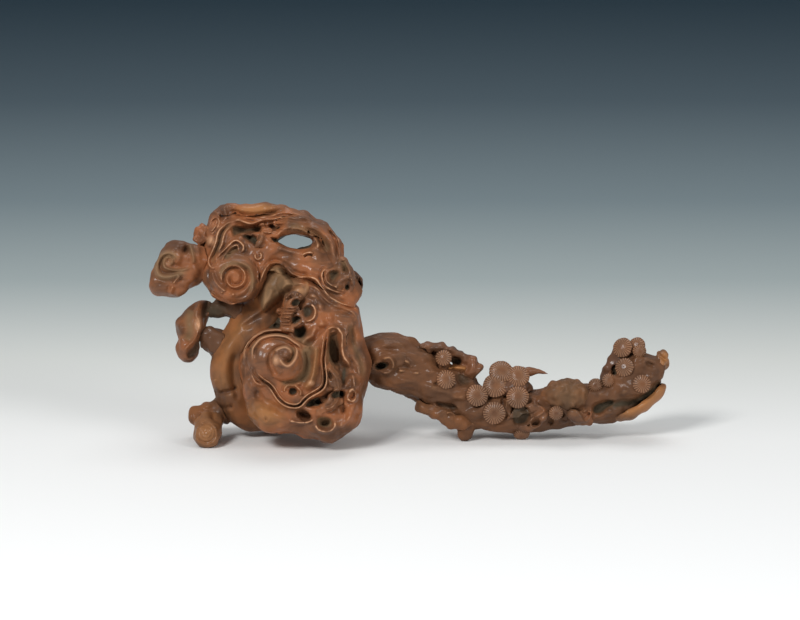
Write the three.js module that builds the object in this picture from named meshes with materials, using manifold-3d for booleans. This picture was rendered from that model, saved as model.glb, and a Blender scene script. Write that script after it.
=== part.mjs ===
// A carved wooden ruyi scepter: a gnarled pine branch whose stem hooks round behind a head of
// lingzhi fungus caps. Each carved form is a solid of its own, seated on the one that carries it.
import * as THREE from "three";
import { mergeVertices } from "three/addons/utils/BufferGeometryUtils.js";
import Module from "manifold-3d";

const wasm = await Module();
wasm.setup();

// Driving sizes in millimetres. x runs along the handle, y to the back and z up the carved face.
const GLUE_GAP = 0.3;
const PEG_RADIUS = 1.4;
const PEG_DEPTH = 4;
const TENON_RADIUS = 3;
const SEAT_BITE = 5;
const REST_FLAT = 1;
const LEAN_DEGREES = 12;

const HANDLE_LENGTH = 141;
const HANDLE_RADIUS = 13;
const FORK_HEIGHT = 40;
const FORK_SETBACK = 15;

const STEM_SPAN = 70;
const STEM_CLIMB = 46;
const STEM_RADIUS = 11;
const STEM_SWING = 6;

const FOOT_RADIUS = 7;
const FOOT_SPREAD = 17;
const FOOT_REACH = 24;
const STUB_RADIUS = 6.5;
const STUB_LENGTH = 27;
const STUB_DROP = 8;
const HEEL_RADIUS = 5;
const HEEL_REACH = 11;
const KNOT_RADIUS = 4;
const KNOT_REACH = 3;

const UPPER_CAP_WIDTH = 79;
const UPPER_CAP_HEIGHT = 53.5;
const UPPER_CAP_FRONT = 11;
const UPPER_CAP_BACK = 9;
const UPPER_CAP_SLOPE = 0.45;
const WINDOW_WIDTH = 18;
const WINDOW_HEIGHT = 8;
const UNDERCUT_RADIUS = 2.8;
const UNDERCUT_DEPTH = 6;
const CREST_RADIUS = 3.6;
const ARCH_RADIUS = 4;
const SCROLL_RADIUS = 12.5;
const SCROLL_RIDGE = 1.3;
const SCROLL_SWELL = 5;
const CREST_KNOB_RADIUS = 5.5;

const LOWER_CAP_WIDTH = 65.5;
const LOWER_CAP_HEIGHT = 78.5;
const LOWER_CAP_FRONT = 18;
const LOWER_CAP_BACK = 14;
const LOWER_CAP_SLOPE = 0.15;
const SLOT_RADIUS = 3;
const SLOT_DEPTH = 8;
const PIT_RADIUS = 2.6;
const PIT_DEPTH = 7;
const RECESS_RADIUS = 9;
const RECESS_DEPTH = 2.2;
const VALLEY_RADIUS = 3.2;
const VALLEY_DEPTH = 2.6;
const TONGUE_WIDTH = 40.5;
const TONGUE_HEIGHT = 40;
const TONGUE_SWELL = 5;
const BOSS_RADIUS = 9;
const BOSS_RIDGE = 1.2;
const BOSS_SWELL = 4;

const TWIG_RADIUS = 2.2;
const LEAF_WIDTH = 17;
const LEAF_HEIGHT = 19.5;
const LEAF_SWELL = 4.5;
const FIN_RADIUS = 2.2;

const SIDE_FUNGUS_SIZE = 28.5;
const SIDE_FUNGUS_DEPTH = 8;
const SMALL_FUNGUS_RADIUS = 7.5;
const STALK_RADIUS = 6.5;
const UPPER_STALK_RADIUS = 5;

const LOOP_RADIUS = 4.1;
const SNAG_RADIUS = 4;
const SPIKE_RADIUS = 3;
const BURL_RADIUS = 8.5;
const CURL_RADIUS = 2.2;
const RUFFLE_RADIUS = 3.5;
const BARK_RADIUS = 4.5;
const TIP_KNOB_RADIUS = 5.5;
const MIDDLE_TWIG_RADIUS = 6;
const TIP_TWIG_RADIUS = 5.5;
const ROSETTE_RADIUS = 6;
const ROSETTE_CROWN = 2;
const ROSETTE_RIM = 1.6;

// How full the first rings of a limb's blunt end are, and how blunt a cap's edge is.
const LIMB_END = [0, 0.72, 0.94];
const CAP_EDGE = 0.55;

const FRONT = new THREE.Vector3(0, -1, 0);
const LEAN = THREE.MathUtils.degToRad(LEAN_DEGREES);

// The height of the table in the leaning frame of the carved face.
const tableAt = (y) => y * Math.tan(LEAN);

// A solid from a closed geometry.
function solidOf(geometry) {
  geometry.deleteAttribute("normal");
  geometry.deleteAttribute("uv");
  const skin = mergeVertices(geometry, 1e-4);
  return new wasm.Manifold(
    new wasm.Mesh({
      numProp: 3,
      vertProperties: new Float32Array(skin.attributes.position.array),
      triVerts: new Uint32Array(skin.index.array),
    }),
  );
}

// A closed skin: a sphere's grid of points, each put where `place` says, by its side and its step
// from one pole to the other.
function closedSkin(sides, steps, place) {
  const grid = new THREE.SphereGeometry(1, sides, steps);
  const { position, uv } = grid.attributes;
  for (let i = 0; i < position.count; i++) {
    const step = Math.round((1 - uv.getY(i)) * steps);
    const side = step % steps === 0 ? 0 : Math.round(uv.getX(i) * sides) % sides;
    const spot = place(side, step);
    position.setXYZ(i, spot.x, spot.y, spot.z);
  }
  return solidOf(grid);
}

// A value along a row of stations.
function along(values, run) {
  const index = Math.min(Math.floor(run * (values.length - 1)), values.length - 2);
  return THREE.MathUtils.lerp(values[index], values[index + 1], run * (values.length - 1) - index);
}

// A limb with blunt ends on a smooth curve through its stations, each a point and a radius.
// `depth` is how much thicker it is from front to back than across.
function limb(stations, { sides = 8, steps = 12, depth = 1 } = {}) {
  const curve = new THREE.CatmullRomCurve3(stations.map(([point]) => point), false, "centripetal");
  const radii = stations.map(([, radius]) => radius);
  const rings = [];
  let normal = new THREE.Vector3(0, 1, 0);
  for (let step = 0; step <= steps; step++) {
    const tangent = curve.getTangent(step / steps);
    normal = normal.clone().addScaledVector(tangent, -normal.dot(tangent)).normalize();
    const across = new THREE.Vector3().crossVectors(normal, tangent);
    rings.push({ point: curve.getPoint(step / steps), tangent, normal, across });
  }
  return (grow) =>
    closedSkin(sides, steps, (side, step) => {
      const { point, tangent, normal: inward, across } = rings[step];
      const spot = point.clone();
      if (step % steps === 0) {
        return spot.addScaledVector(tangent, step === 0 ? -grow : grow);
      }
      const angle = (2 * Math.PI * side) / sides;
      const fullness = LIMB_END[Math.min(step, steps - step)] ?? 1;
      const radius = along(radii, step / steps) * fullness;
      spot.addScaledVector(inward, Math.cos(angle) * (radius * depth + grow));
      return spot.addScaledVector(across, Math.sin(angle) * (radius + grow));
    });
}

// A cushion-like cap. Its outline runs clockwise as seen from the front, in hundredths of the width
// and height from its centre; `pole` is the crown's place in it, and `slope` leans it back.
function cap({ outline, centre, width, height, front, back, slope = 0, pole = [0, 0] }, { sides, steps }) {
  const toPlane = ([across, up]) => new THREE.Vector3((across * width) / 100, 0, (up * height) / 100);
  const rim = new THREE.CatmullRomCurve3(outline.map(toPlane).reverse(), true, "centripetal");
  const crown = toPlane(pole);
  const spokes = rim.getSpacedPoints(sides).map((point) => point.sub(crown));
  const outward = spokes.map((spoke, side) => {
    const tangent = rim.getTangentAt(side / sides);
    return new THREE.Vector3(tangent.z, 0, -tangent.x);
  });
  const shape = (grow) =>
    closedSkin(sides, steps, (side, step) => {
      const turn = (Math.PI * step) / steps;
      const spread = step % steps === 0 ? 0 : Math.sin(turn) ** CAP_EDGE;
      const edge = spokes[side].clone().addScaledVector(outward[side], grow);
      const spot = edge.multiplyScalar(spread).add(crown);
      spot.y = spot.z * slope - Math.cos(turn) * (2 * step < steps ? front + grow : back + grow);
      return spot.add(centre);
    });

  // A point of the cap's front, `out` millimetres in front of its skin.
  const at = (across, up, out = 0) => {
    const spot = toPlane([across, up]);
    const reach = spot.clone().sub(crown);
    const bearing = (point) => Math.atan2(point.z, point.x);
    const miss = (spoke) => Math.abs(Math.sin((bearing(spoke) - bearing(reach)) / 2));
    const spoke = spokes.reduce((best, next) => (miss(next) < miss(best) ? next : best));
    const share = Math.min(reach.length() / spoke.length(), 1);
    const swell = Math.sqrt(1 - Math.min(share ** (2 / CAP_EDGE), 1));
    spot.y = spot.z * slope - front * swell - out;
    return spot.add(centre);
  };
  return { shape, at };
}

// A cap's shape with hollows gouged into its front. Each hollow is a row of places on the skin, in
// hundredths of the cap, with how wide to each side and how deep it is cut.
function gouged(shape, at, hollows) {
  const cuts = hollows.map(({ places, radius, depth }) => {
    const stations = places.map(([across, up]) => [at(across, up), radius]);
    return limb(stations, { steps: 8, depth: depth / radius });
  });
  return (grow) => cuts.reduce((body, cut) => body.subtract(cut(-grow)), shape(grow));
}

// A round dome on a cap, with a spiral ridge that winds in from its rim.
function scroll(centre, radius, swell, ridge, turns, start) {
  const round = [];
  for (let i = 0; i < 12; i++) {
    const angle = (-i * Math.PI) / 6;
    round.push([50 * Math.cos(angle), 50 * Math.sin(angle)]);
  }
  const size = 2 * radius;
  const dome = cap(
    { outline: round, centre, width: size, height: size, front: swell, back: swell },
    { sides: 18, steps: 6 },
  );
  const stations = [];
  for (let i = 0; i <= 9 * turns; i++) {
    const angle = start + (i * 2 * Math.PI) / 9;
    const share = 42 * (1 - i / (9 * turns + 2));
    stations.push([dome.at(share * Math.cos(angle), share * Math.sin(angle)), ridge]);
  }
  const coil = limb(stations, { sides: 4, steps: 9 * turns });
  return { shape: (grow) => dome.shape(grow).add(coil(grow)), at: dome.at };
}

// A pine-needle rosette: a shallow dome that faces along `facing`.
function rosette(centre, facing, radius) {
  const turn = new THREE.Quaternion().setFromUnitVectors(new THREE.Vector3(0, 1, 0), facing);
  return (grow) => {
    const profile = [
      [0, -ROSETTE_RIM - grow],
      [0.8 * radius, -ROSETTE_RIM - grow],
      [radius + grow, -0.3 * ROSETTE_RIM],
      [0.62 * radius + grow, 0.6 * ROSETTE_CROWN],
      [0, ROSETTE_CROWN + grow],
    ];
    const dome = new THREE.LatheGeometry(profile.map(([x, y]) => new THREE.Vector2(x, y)), 12);
    dome.applyQuaternion(turn).translate(centre.x, centre.y, centre.z);
    return solidOf(dome);
  };
}

// A round peg between two points.
function pegSolid([from, to, radius], grow) {
  const run = to.clone().sub(from);
  const rod = new THREE.CylinderGeometry(radius + grow, radius + grow, run.length() + grow, 6);
  rod.translate(0, (run.length() + grow) / 2, 0);
  rod.applyQuaternion(new THREE.Quaternion().setFromUnitVectors(new THREE.Vector3(0, 1, 0), run.clone().normalize()));
  rod.translate(from.x, from.y, from.z);
  return solidOf(rod);
}

// The body with the largest volume, without any offcuts.
function largest(solid) {
  return solid.decompose().reduce((best, next) => (next.volume() > best.volume() ? next : best));
}

const pieces = [];
function piece(name, shape, colour, peg) {
  pieces.push({ name, shape, colour, peg });
}

const STEM_WOOD = { color: "#7a4a2c", roughness: 0.5 };
const CAP_WOOD = { color: "#8a4f2d", roughness: 0.42 };
const TWIG_WOOD = { color: "#834a2a", roughness: 0.45 };
const NEEDLE_WOOD = { color: "#8d5230", roughness: 0.45 };
const END_WOOD = { color: "#b07a48", roughness: 0.55 };

// The stem: an arm that leaves the fork and drops behind the lower cap, and a trunk that climbs from
// the foot to the upper cap. In hundredths of the span, the height, the swing and the radius.
const FORK = new THREE.Vector3(-FORK_SETBACK, 0, FORK_HEIGHT);
const stemRise = FORK_HEIGHT + STEM_CLIMB;
const stemStation = ([across, up, swing, girth], height) => [
  new THREE.Vector3(FORK.x + (across * STEM_SPAN) / 100, (swing * STEM_SWING) / 100, (up * height) / 100),
  (girth * STEM_RADIUS) / 100,
];
const arm = [
  [16, 96, 0, 55],
  [1, 100, 17, 80],
  [-16, 95, 67, 109],
  [-43, 70, 67, 109],
  [-73, 40, 100, 105],
].map((station) => stemStation(station, FORK_HEIGHT));
const trunk = [
  [-91, 20, 33, 100],
  [-97, 31, -50, 85],
  [-98, 45, -83, 89],
  [-90, 57, -67, 96],
  [-77, 70, 0, 122],
  [-62, 86, 67, 122],
  [-50, 100, 83, 82],
  [-47, 113, 117, 80],
].map((station) => stemStation(station, stemRise));
const [corner, , bend] = trunk;
const armSeat = arm[3];
const topSeat = trunk[6];
piece("hook_stem", limb([...arm, ...trunk], { sides: 12, steps: 26 }), STEM_WOOD);

// The handle: a branch that drops from the fork, runs low along the table and turns up at the tip.
// In hundredths of its length, the fork's height and its radius.
const branchStation = ([run, up, girth], radius) => [
  new THREE.Vector3(FORK.x + (run * HANDLE_LENGTH) / 100, 0, (up * FORK_HEIGHT) / 100),
  (girth * radius) / 100,
];
const handleStations = [
  [-8, 101, 98],
  [2, 99, 105],
  [11, 92, 106],
  [18, 79, 98],
  [28, 59, 90],
  [42, 38, 82],
  [54, 34, 80],
  [66, 41, 78],
  [75, 43, 76],
  [83, 46, 71],
  [89, 58, 81],
  [94, 75, 91],
  [97.5, 93, 88],
  [100, 108, 68],
].map((station) => branchStation(station, HANDLE_RADIUS));
piece("handle_branch", limb(handleStations, { sides: 12, steps: 27 }), STEM_WOOD);

// A place on the handle: at a hundredth of its length, at an angle up from the front, `lift`
// millimetres off its skin.
const handleCurve = new THREE.CatmullRomCurve3(handleStations.map(([point]) => point), false, "centripetal");
const handleRadii = handleStations.map(([, radius]) => radius);
function onHandle(share, degrees, lift) {
  const x = FORK.x + (share * HANDLE_LENGTH) / 100;
  let low = 0;
  let high = 1;
  for (let halving = 0; halving < 24; halving++) {
    const middle = (low + high) / 2;
    if (handleCurve.getPoint(middle).x < x) {
      low = middle;
    } else {
      high = middle;
    }
  }
  const axis = handleCurve.getPoint(low);
  const tangent = handleCurve.getTangent(low);
  const up = new THREE.Vector3(-tangent.z, 0, tangent.x).normalize();
  const angle = THREE.MathUtils.degToRad(degrees);
  const out = FRONT.clone().multiplyScalar(Math.cos(angle)).addScaledVector(up, Math.sin(angle));
  const radius = along(handleRadii, low);
  return {
    axis,
    out,
    skin: axis.clone().addScaledVector(out, radius),
    point: axis.clone().addScaledVector(out, radius + lift),
    socket: axis.clone().addScaledVector(out, radius - PEG_DEPTH),
  };
}

// The resting points: the sawn foot, the heel under the stem and the knot under the handle.
const stubEnd = corner[0].clone().add(new THREE.Vector3(-STUB_LENGTH, 0, -STUB_DROP));
const stubMiddle = corner[0].clone().lerp(stubEnd, 0.7);
piece(
  "foot_upper",
  limb([[corner[0], STUB_RADIUS], [stubMiddle, STUB_RADIUS], [stubEnd, 0.75 * STUB_RADIUS]], { sides: 10, steps: 9 }),
  STEM_WOOD,
  [stubMiddle, corner[0], PEG_RADIUS],
);
const footTop = corner[0].clone().lerp(stubEnd, 0.6);
const footEnd = corner[0].clone().add(new THREE.Vector3(-FOOT_SPREAD, -FOOT_REACH, 0));
footEnd.z = tableAt(footEnd.y) + 0.85 * FOOT_RADIUS - REST_FLAT;
const footMiddle = footTop.clone().lerp(footEnd, 0.6);
footMiddle.z = tableAt(footMiddle.y) + FOOT_RADIUS - REST_FLAT;
piece(
  "foot_lower",
  limb([[footTop, FOOT_RADIUS], [footMiddle, FOOT_RADIUS], [footEnd, 0.85 * FOOT_RADIUS]], { sides: 12, steps: 10 }),
  END_WOOD,
  [footMiddle, footTop, PEG_RADIUS],
);
const heelTop = arm[4][0];
const heelEnd = heelTop.clone().add(new THREE.Vector3(0, HEEL_REACH, 0));
heelEnd.z = tableAt(heelEnd.y) - REST_FLAT;
piece("heel_knot", limb([[heelTop, HEEL_RADIUS], [heelEnd, HEEL_RADIUS]], { sides: 10, steps: 8 }), STEM_WOOD);
const knotTop = onHandle(36, -80, 0);
const knotEnd = knotTop.skin.clone().add(new THREE.Vector3(0, -KNOT_REACH, 0));
knotEnd.z = tableAt(knotEnd.y) - REST_FLAT;
piece("snag_knot", limb([[knotTop.axis, 1.2 * KNOT_RADIUS], [knotEnd, KNOT_RADIUS]], { sides: 10, steps: 8 }), STEM_WOOD);

// The upper cap with its pierced window, seated on the top of the stem.
const upperCentre = new THREE.Vector3(
  topSeat[0].x - 0.107 * UPPER_CAP_WIDTH,
  0,
  topSeat[0].z + 0.1 * UPPER_CAP_HEIGHT,
);
upperCentre.y =
  topSeat[0].y - topSeat[1] - UPPER_CAP_BACK + SEAT_BITE + (upperCentre.z - topSeat[0].z) * UPPER_CAP_SLOPE;
const upperCap = cap(
  {
    outline: [
      [-49, -27],
      [-49, -11],
      [-51, 6],
      [-49, 23],
      [-46, 42],
      [-39, 49],
      [-27, 49],
      [-13, 50],
      [-1, 47],
      [13, 42],
      [23, 35],
      [32, 26],
      [37, 13],
      [38, 0],
      [44, -14],
      [49, -31],
      [50, -43],
      [44, -50],
      [33, -43],
      [25, -31],
      [16, -23],
      [6, -18],
      [0, -11],
      [-5, -7],
      [-9, -13],
      [-13, -29],
      [-18, -41],
      [-27, -45],
      [-39, -43],
      [-46, -37],
    ],
    centre: upperCentre,
    width: UPPER_CAP_WIDTH,
    height: UPPER_CAP_HEIGHT,
    front: UPPER_CAP_FRONT,
    back: UPPER_CAP_BACK,
    slope: UPPER_CAP_SLOPE,
    pole: [-8, 20],
  },
  { sides: 40, steps: 8 },
);
const windowCentre = upperCap.at(7.6, 13.5);
const windowReach = 2 * (UPPER_CAP_FRONT + UPPER_CAP_BACK);
const windowSolid = (shrink) => {
  const bore = new THREE.CylinderGeometry(1, 1, 2 * windowReach, 20);
  bore.scale(WINDOW_WIDTH / 2 - shrink, 1, WINDOW_HEIGHT / 2 - shrink);
  bore.translate(windowCentre.x, windowCentre.y, windowCentre.z);
  return solidOf(bore);
};
const pierced = (grow) => upperCap.shape(grow).subtract(windowSolid(grow));
const undercut = { radius: UNDERCUT_RADIUS, depth: UNDERCUT_DEPTH };
const upperHollows = [
  { ...undercut, places: [[-31, 24], [-26, 25], [-20, 24], [-13, 27], [-5, 27], [0, 28]] },
  { ...undercut, places: [[-24, 18], [-19, 15], [-14, 11]] },
];
piece("upper_cap", gouged(pierced, upperCap.at, upperHollows), CAP_WOOD, [
  topSeat[0].clone().addScaledVector(FRONT, topSeat[1] + UPPER_CAP_BACK),
  topSeat[0],
  TENON_RADIUS,
]);

// The lower cap, seated on the front of the stem's arm.
const lowerCentre = new THREE.Vector3(FORK.x - 0.457 * STEM_SPAN, 0, 0.97 * FORK_HEIGHT);
lowerCentre.y =
  armSeat[0].y - armSeat[1] - LOWER_CAP_BACK + SEAT_BITE + (lowerCentre.z - armSeat[0].z) * LOWER_CAP_SLOPE;
const lowerCap = cap(
  {
    outline: [
      [-12, 53],
      [5, 55],
      [17, 50],
      [28, 43],
      [40, 36],
      [43, 20],
      [47, 7],
      [50, -1],
      [48, -14],
      [44, -25],
      [44, -34],
      [38, -44],
      [26, -49],
      [15, -50],
      [3, -48],
      [-8, -45],
      [-23, -45],
      [-36, -42],
      [-43, -35],
      [-46, -25],
      [-49, -9],
      [-49, 4],
      [-44, 13],
      [-33, 19],
      [-23, 25],
      [-17, 37],
    ],
    centre: lowerCentre,
    width: LOWER_CAP_WIDTH,
    height: LOWER_CAP_HEIGHT,
    front: LOWER_CAP_FRONT,
    back: LOWER_CAP_BACK,
    slope: LOWER_CAP_SLOPE,
    pole: [0, -7],
  },
  { sides: 36, steps: 8 },
);
const slot = { radius: SLOT_RADIUS, depth: SLOT_DEPTH };
const pit = { radius: PIT_RADIUS, depth: PIT_DEPTH };
const recess = { radius: RECESS_RADIUS, depth: RECESS_DEPTH };
const valley = { radius: VALLEY_RADIUS, depth: VALLEY_DEPTH };
const lowerHollows = [
  { ...slot, places: [[21, 20], [22, 10], [24, 1], [29, -8]] },
  { ...slot, places: [[3, -26], [11, -25], [19, -22], [26, -21], [29, -30]] },
  { ...pit, places: [[-7, -30], [0, -33], [6, -34]] },
  { ...pit, places: [[10, -37], [15, -38], [20, -38]] },
  { ...recess, places: [[-23, 23], [-15, 31], [-8, 37], [3, 40]] },
  { ...valley, places: [[-42, -10], [-36, -20], [-29, -26], [-21, -29], [-11, -32]] },
  { ...valley, places: [[35, 24], [35, 11], [38, 0], [36, -13]] },
];
piece("lower_cap", gouged(lowerCap.shape, lowerCap.at, lowerHollows), CAP_WOOD, [
  armSeat[0].clone().addScaledVector(FRONT, armSeat[1] + LOWER_CAP_BACK),
  armSeat[0],
  TENON_RADIUS,
]);

// The spiral lobe, crest, arch roll, twig and knob of the upper cap.
const upperScroll = scroll(upperCap.at(-30, -20), SCROLL_RADIUS, SCROLL_SWELL, SCROLL_RIDGE, 2, Math.PI);
piece("upper_scroll", upperScroll.shape, CAP_WOOD, [
  upperCap.at(-30, -20, 1),
  upperCap.at(-30, -20, -SCROLL_SWELL - PEG_DEPTH),
  PEG_RADIUS,
]);
const onUpper = (rows, radius) => rows.map(([across, up, girth]) => [upperCap.at(across, up), (girth * radius) / 100]);
piece(
  "arch_roll",
  limb(
    onUpper(
      [
        [-7, 30, 70],
        [2, 30, 100],
        [13, 29, 100],
        [23, 21, 105],
        [30, 8, 100],
        [34, -6, 90],
        [38, -20, 60],
      ],
      ARCH_RADIUS,
    ),
    { steps: 14 },
  ),
  CAP_WOOD,
);
piece(
  "upper_crest",
  limb(
    onUpper(
      [
        [-43, 38, 80],
        [-34, 43, 105],
        [-21, 41, 100],
        [-11, 43, 105],
        [1, 40, 100],
        [13, 34, 90],
        [21, 26, 60],
      ],
      CREST_RADIUS,
    ),
    { steps: 14 },
  ),
  CAP_WOOD,
);
piece(
  "window_twig",
  limb(
    onUpper(
      [
        [-18, 8, 80],
        [-13, 14, 100],
        [-11, 21, 90],
        [-6, 24, 80],
      ],
      TWIG_RADIUS,
    ),
    { sides: 7, steps: 10 },
  ),
  TWIG_WOOD,
);
piece(
  "crest_knob",
  limb(
    [
      [upperCap.at(-46, 8, -UPPER_CAP_FRONT / 4), 0.7 * CREST_KNOB_RADIUS],
      [upperCap.at(-50, 19, -UPPER_CAP_FRONT / 4), CREST_KNOB_RADIUS],
      [upperCap.at(-50, 28, -UPPER_CAP_FRONT / 4), 0.75 * CREST_KNOB_RADIUS],
    ],
    { steps: 9 },
  ),
  CAP_WOOD,
);

// The tongue-shaped scroll plate of the lower cap, its spiral boss, and the twigs in the hollows.
const tongueSeat = lowerCap.at(-12, -3.5);
const tongue = cap(
  {
    outline: [
      [-50, 6],
      [-46, 25],
      [-34, 39],
      [-14, 44],
      [3, 39],
      [17, 29],
      [29, 26],
      [38, 39],
      [50, 50],
      [48, 31],
      [44, 9],
      [45, -14],
      [40, -29],
      [27, -38],
      [14, -46],
      [4, -50],
      [-7, -44],
      [-17, -31],
      [-29, -20],
      [-41, -13],
    ],
    centre: tongueSeat,
    width: TONGUE_WIDTH,
    height: TONGUE_HEIGHT,
    front: TONGUE_SWELL,
    back: 2 * TONGUE_SWELL,
  },
  { sides: 32, steps: 6 },
);
piece("tongue_scroll", tongue.shape, CAP_WOOD, [
  lowerCap.at(10, -10, TONGUE_SWELL / 2),
  lowerCap.at(10, -10, -2 * TONGUE_SWELL - PEG_DEPTH),
  PEG_RADIUS,
]);
const boss = scroll(tongue.at(-5, 8), BOSS_RADIUS, BOSS_SWELL, BOSS_RIDGE, 2, 0);
piece("spiral_boss", boss.shape, CAP_WOOD, [
  tongue.at(-5, 8, 1),
  tongue.at(-5, 8, -BOSS_SWELL - PEG_DEPTH),
  PEG_RADIUS,
]);
const onLower = (rows, radius) => rows.map(([across, up, girth]) => [lowerCap.at(across, up), (girth * radius) / 100]);
piece(
  "hollow_twig",
  limb(
    onLower(
      [
        [-13, 20, 80],
        [-12, 26, 90],
        [-11, 32, 120],
        [-8, 38, 110],
        [-4, 43, 80],
      ],
      TWIG_RADIUS,
    ),
    { sides: 7, steps: 12 },
  ),
  TWIG_WOOD,
);
piece(
  "root_strand",
  limb(
    onLower(
      [
        [18, 2, 60],
        [21, -7, 80],
        [25, -14, 80],
        [22, -22, 90],
        [15, -28, 90],
        [8, -34, 70],
      ],
      TWIG_RADIUS,
    ),
    { sides: 7, steps: 12 },
  ),
  TWIG_WOOD,
);

// The sprig on the right of the upper cap.
const leaf = cap(
  {
    outline: [
      [6, 50],
      [24, 50],
      [35, 29],
      [50, 9],
      [50, -22],
      [38, -45],
      [12, -50],
      [-15, -42],
      [-38, -29],
      [-50, -6],
      [-38, 17],
      [-15, 22],
      [0, 32],
    ],
    centre: upperCap.at(35, -19),
    width: LEAF_WIDTH,
    height: LEAF_HEIGHT,
    front: LEAF_SWELL,
    back: LEAF_SWELL,
    pole: [10, -8],
  },
  { sides: 24, steps: 7 },
);
piece("side_leaf", leaf.shape, TWIG_WOOD);
piece(
  "side_fin",
  limb(
    [
      [upperCap.at(44, -12), 0.7 * FIN_RADIUS],
      [upperCap.at(48, -22), FIN_RADIUS],
      [upperCap.at(50, -34), 0.7 * FIN_RADIUS],
    ],
    { sides: 7, steps: 8 },
  ),
  TWIG_WOOD,
);

// The curled fungus at the far left, and the edge-on one below it on its two stalks. Places beside the
// trunk are in hundredths of the stem's span and rise.
const sideCentre = upperCap.at(-49, -13, -UPPER_CAP_FRONT / 4);
sideCentre.x -= 0.46 * SIDE_FUNGUS_SIZE;
const sideFungus = cap(
  {
    outline: [
      [-50, -25],
      [-46, -3],
      [-38, 18],
      [-25, 39],
      [-6, 50],
      [15, 45],
      [38, 45],
      [50, 22],
      [50, -3],
      [38, -22],
      [20, -32],
      [8, -46],
      [-10, -50],
      [-32, -45],
      [-46, -43],
    ],
    centre: sideCentre,
    width: SIDE_FUNGUS_SIZE,
    height: SIDE_FUNGUS_SIZE,
    front: SIDE_FUNGUS_DEPTH,
    back: SIDE_FUNGUS_DEPTH,
  },
  { sides: 24, steps: 8 },
);
piece("side_fungus", sideFungus.shape, CAP_WOOD, [
  sideCentre,
  sideCentre.clone().add(new THREE.Vector3(0.46 * SIDE_FUNGUS_SIZE + 2 * PEG_DEPTH, 0, 0)),
  PEG_RADIUS,
]);
const trunkSide = (across, up) =>
  new THREE.Vector3(FORK.x + (across * STEM_SPAN) / 100, bend[0].y, (up * stemRise) / 100);
piece(
  "small_stalk",
  limb(
    [
      [trunkSide(-95, 50), STALK_RADIUS],
      [trunkSide(-108, 55), STALK_RADIUS],
      [trunkSide(-119, 64), STALK_RADIUS],
    ],
    { steps: 10 },
  ),
  STEM_WOOD,
  [trunkSide(-114, 58), trunkSide(-97, 51), PEG_RADIUS],
);
piece(
  "upper_stalk",
  limb(
    [
      [trunkSide(-84, 70), UPPER_STALK_RADIUS],
      [trunkSide(-99, 76), UPPER_STALK_RADIUS],
      [trunkSide(-117, 75), 0.9 * UPPER_STALK_RADIUS],
    ],
    { steps: 10 },
  ),
  STEM_WOOD,
);
piece(
  "small_fungus",
  limb(
    [
      [trunkSide(-114, 81), 0.6 * SMALL_FUNGUS_RADIUS],
      [trunkSide(-122, 73), 0.74 * SMALL_FUNGUS_RADIUS],
      [trunkSide(-128, 66), SMALL_FUNGUS_RADIUS],
      [trunkSide(-129, 59), 0.75 * SMALL_FUNGUS_RADIUS],
      [trunkSide(-130, 52), 0.8 * SMALL_FUNGUS_RADIUS],
      [trunkSide(-132, 44), 0.62 * SMALL_FUNGUS_RADIUS],
    ],
    { sides: 10, steps: 14, depth: 1.3 },
  ),
  CAP_WOOD,
);

// Twigs, leaves, burl and bark of the handle, each a row of places on its skin.
const onBranch = (rows, radius) =>
  rows.map(([share, degrees, lift, girth]) => [
    onHandle(share, degrees, (lift * radius) / 100).point,
    (girth * radius) / 100,
  ]);
piece(
  "burl",
  limb(
    onBranch(
      [
        [60, 35, -35, 47],
        [65, 38, -25, 88],
        [69, 40, -25, 100],
        [74, 40, -25, 94],
        [78.5, 35, -35, 47],
      ],
      BURL_RADIUS,
    ),
    { sides: 10, steps: 10 },
  ),
  STEM_WOOD,
);
piece(
  "tip_bark",
  limb(
    onBranch(
      [
        [82, -85, -30, 55],
        [87, -88, -10, 90],
        [91, -90, 0, 100],
        [94.5, -90, 5, 90],
        [96.5, -90, 60, 30],
      ],
      BARK_RADIUS,
    ),
    { steps: 12, depth: 1.5 },
  ),
  END_WOOD,
);
piece(
  "tip_knob",
  limb(
    onBranch(
      [
        [99, -75, -110, 90],
        [99.6, -75, -45, 100],
        [100, -75, 20, 75],
      ],
      TIP_KNOB_RADIUS,
    ),
    { steps: 9 },
  ),
  END_WOOD,
);
piece(
  "middle_twig",
  limb(
    onBranch(
      [
        [38, 62, -30, 60],
        [43, 72, 10, 95],
        [48.5, 76, 25, 105],
        [54, 74, 20, 95],
        [58.5, 68, -30, 55],
      ],
      MIDDLE_TWIG_RADIUS,
    ),
    { steps: 12 },
  ),
  TWIG_WOOD,
);
const tipTwig = [
  [83, 64, 80],
  [85.5, 81, 90],
  [88.3, 99, 100],
  [92.2, 109, 100],
  [96.8, 110, 80],
].map((station) => branchStation(station, TIP_TWIG_RADIUS));
piece("tip_twig", limb(tipTwig, { steps: 12 }), TWIG_WOOD);
piece(
  "loop_twig",
  limb(
    onBranch(
      [
        [13, 80, -40, 75],
        [17.5, 80, 55, 85],
        [23.5, 80, 125, 100],
        [30, 80, 150, 95],
        [32.6, 78, 110, 85],
        [30.4, 76, 45, 80],
        [24.4, 74, -40, 85],
      ],
      LOOP_RADIUS,
    ),
    { steps: 18 },
  ),
  TWIG_WOOD,
);
piece(
  "snag",
  limb(
    onBranch(
      [
        [20.5, -72, 60, 75],
        [25.5, -66, 40, 90],
        [30.5, -62, 40, 95],
        [35, -60, 50, 105],
        [39, -56, 0, 70],
      ],
      SNAG_RADIUS,
    ),
    { steps: 14 },
  ),
  STEM_WOOD,
);
piece(
  "spike_leaf",
  limb(
    onBranch(
      [
        [52, 85, -60, 100],
        [54, 82, 280, 95],
        [59, 82, 320, 75],
        [66, 82, 200, 20],
      ],
      SPIKE_RADIUS,
    ),
    { steps: 12 },
  ),
  TWIG_WOOD,
);
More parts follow.
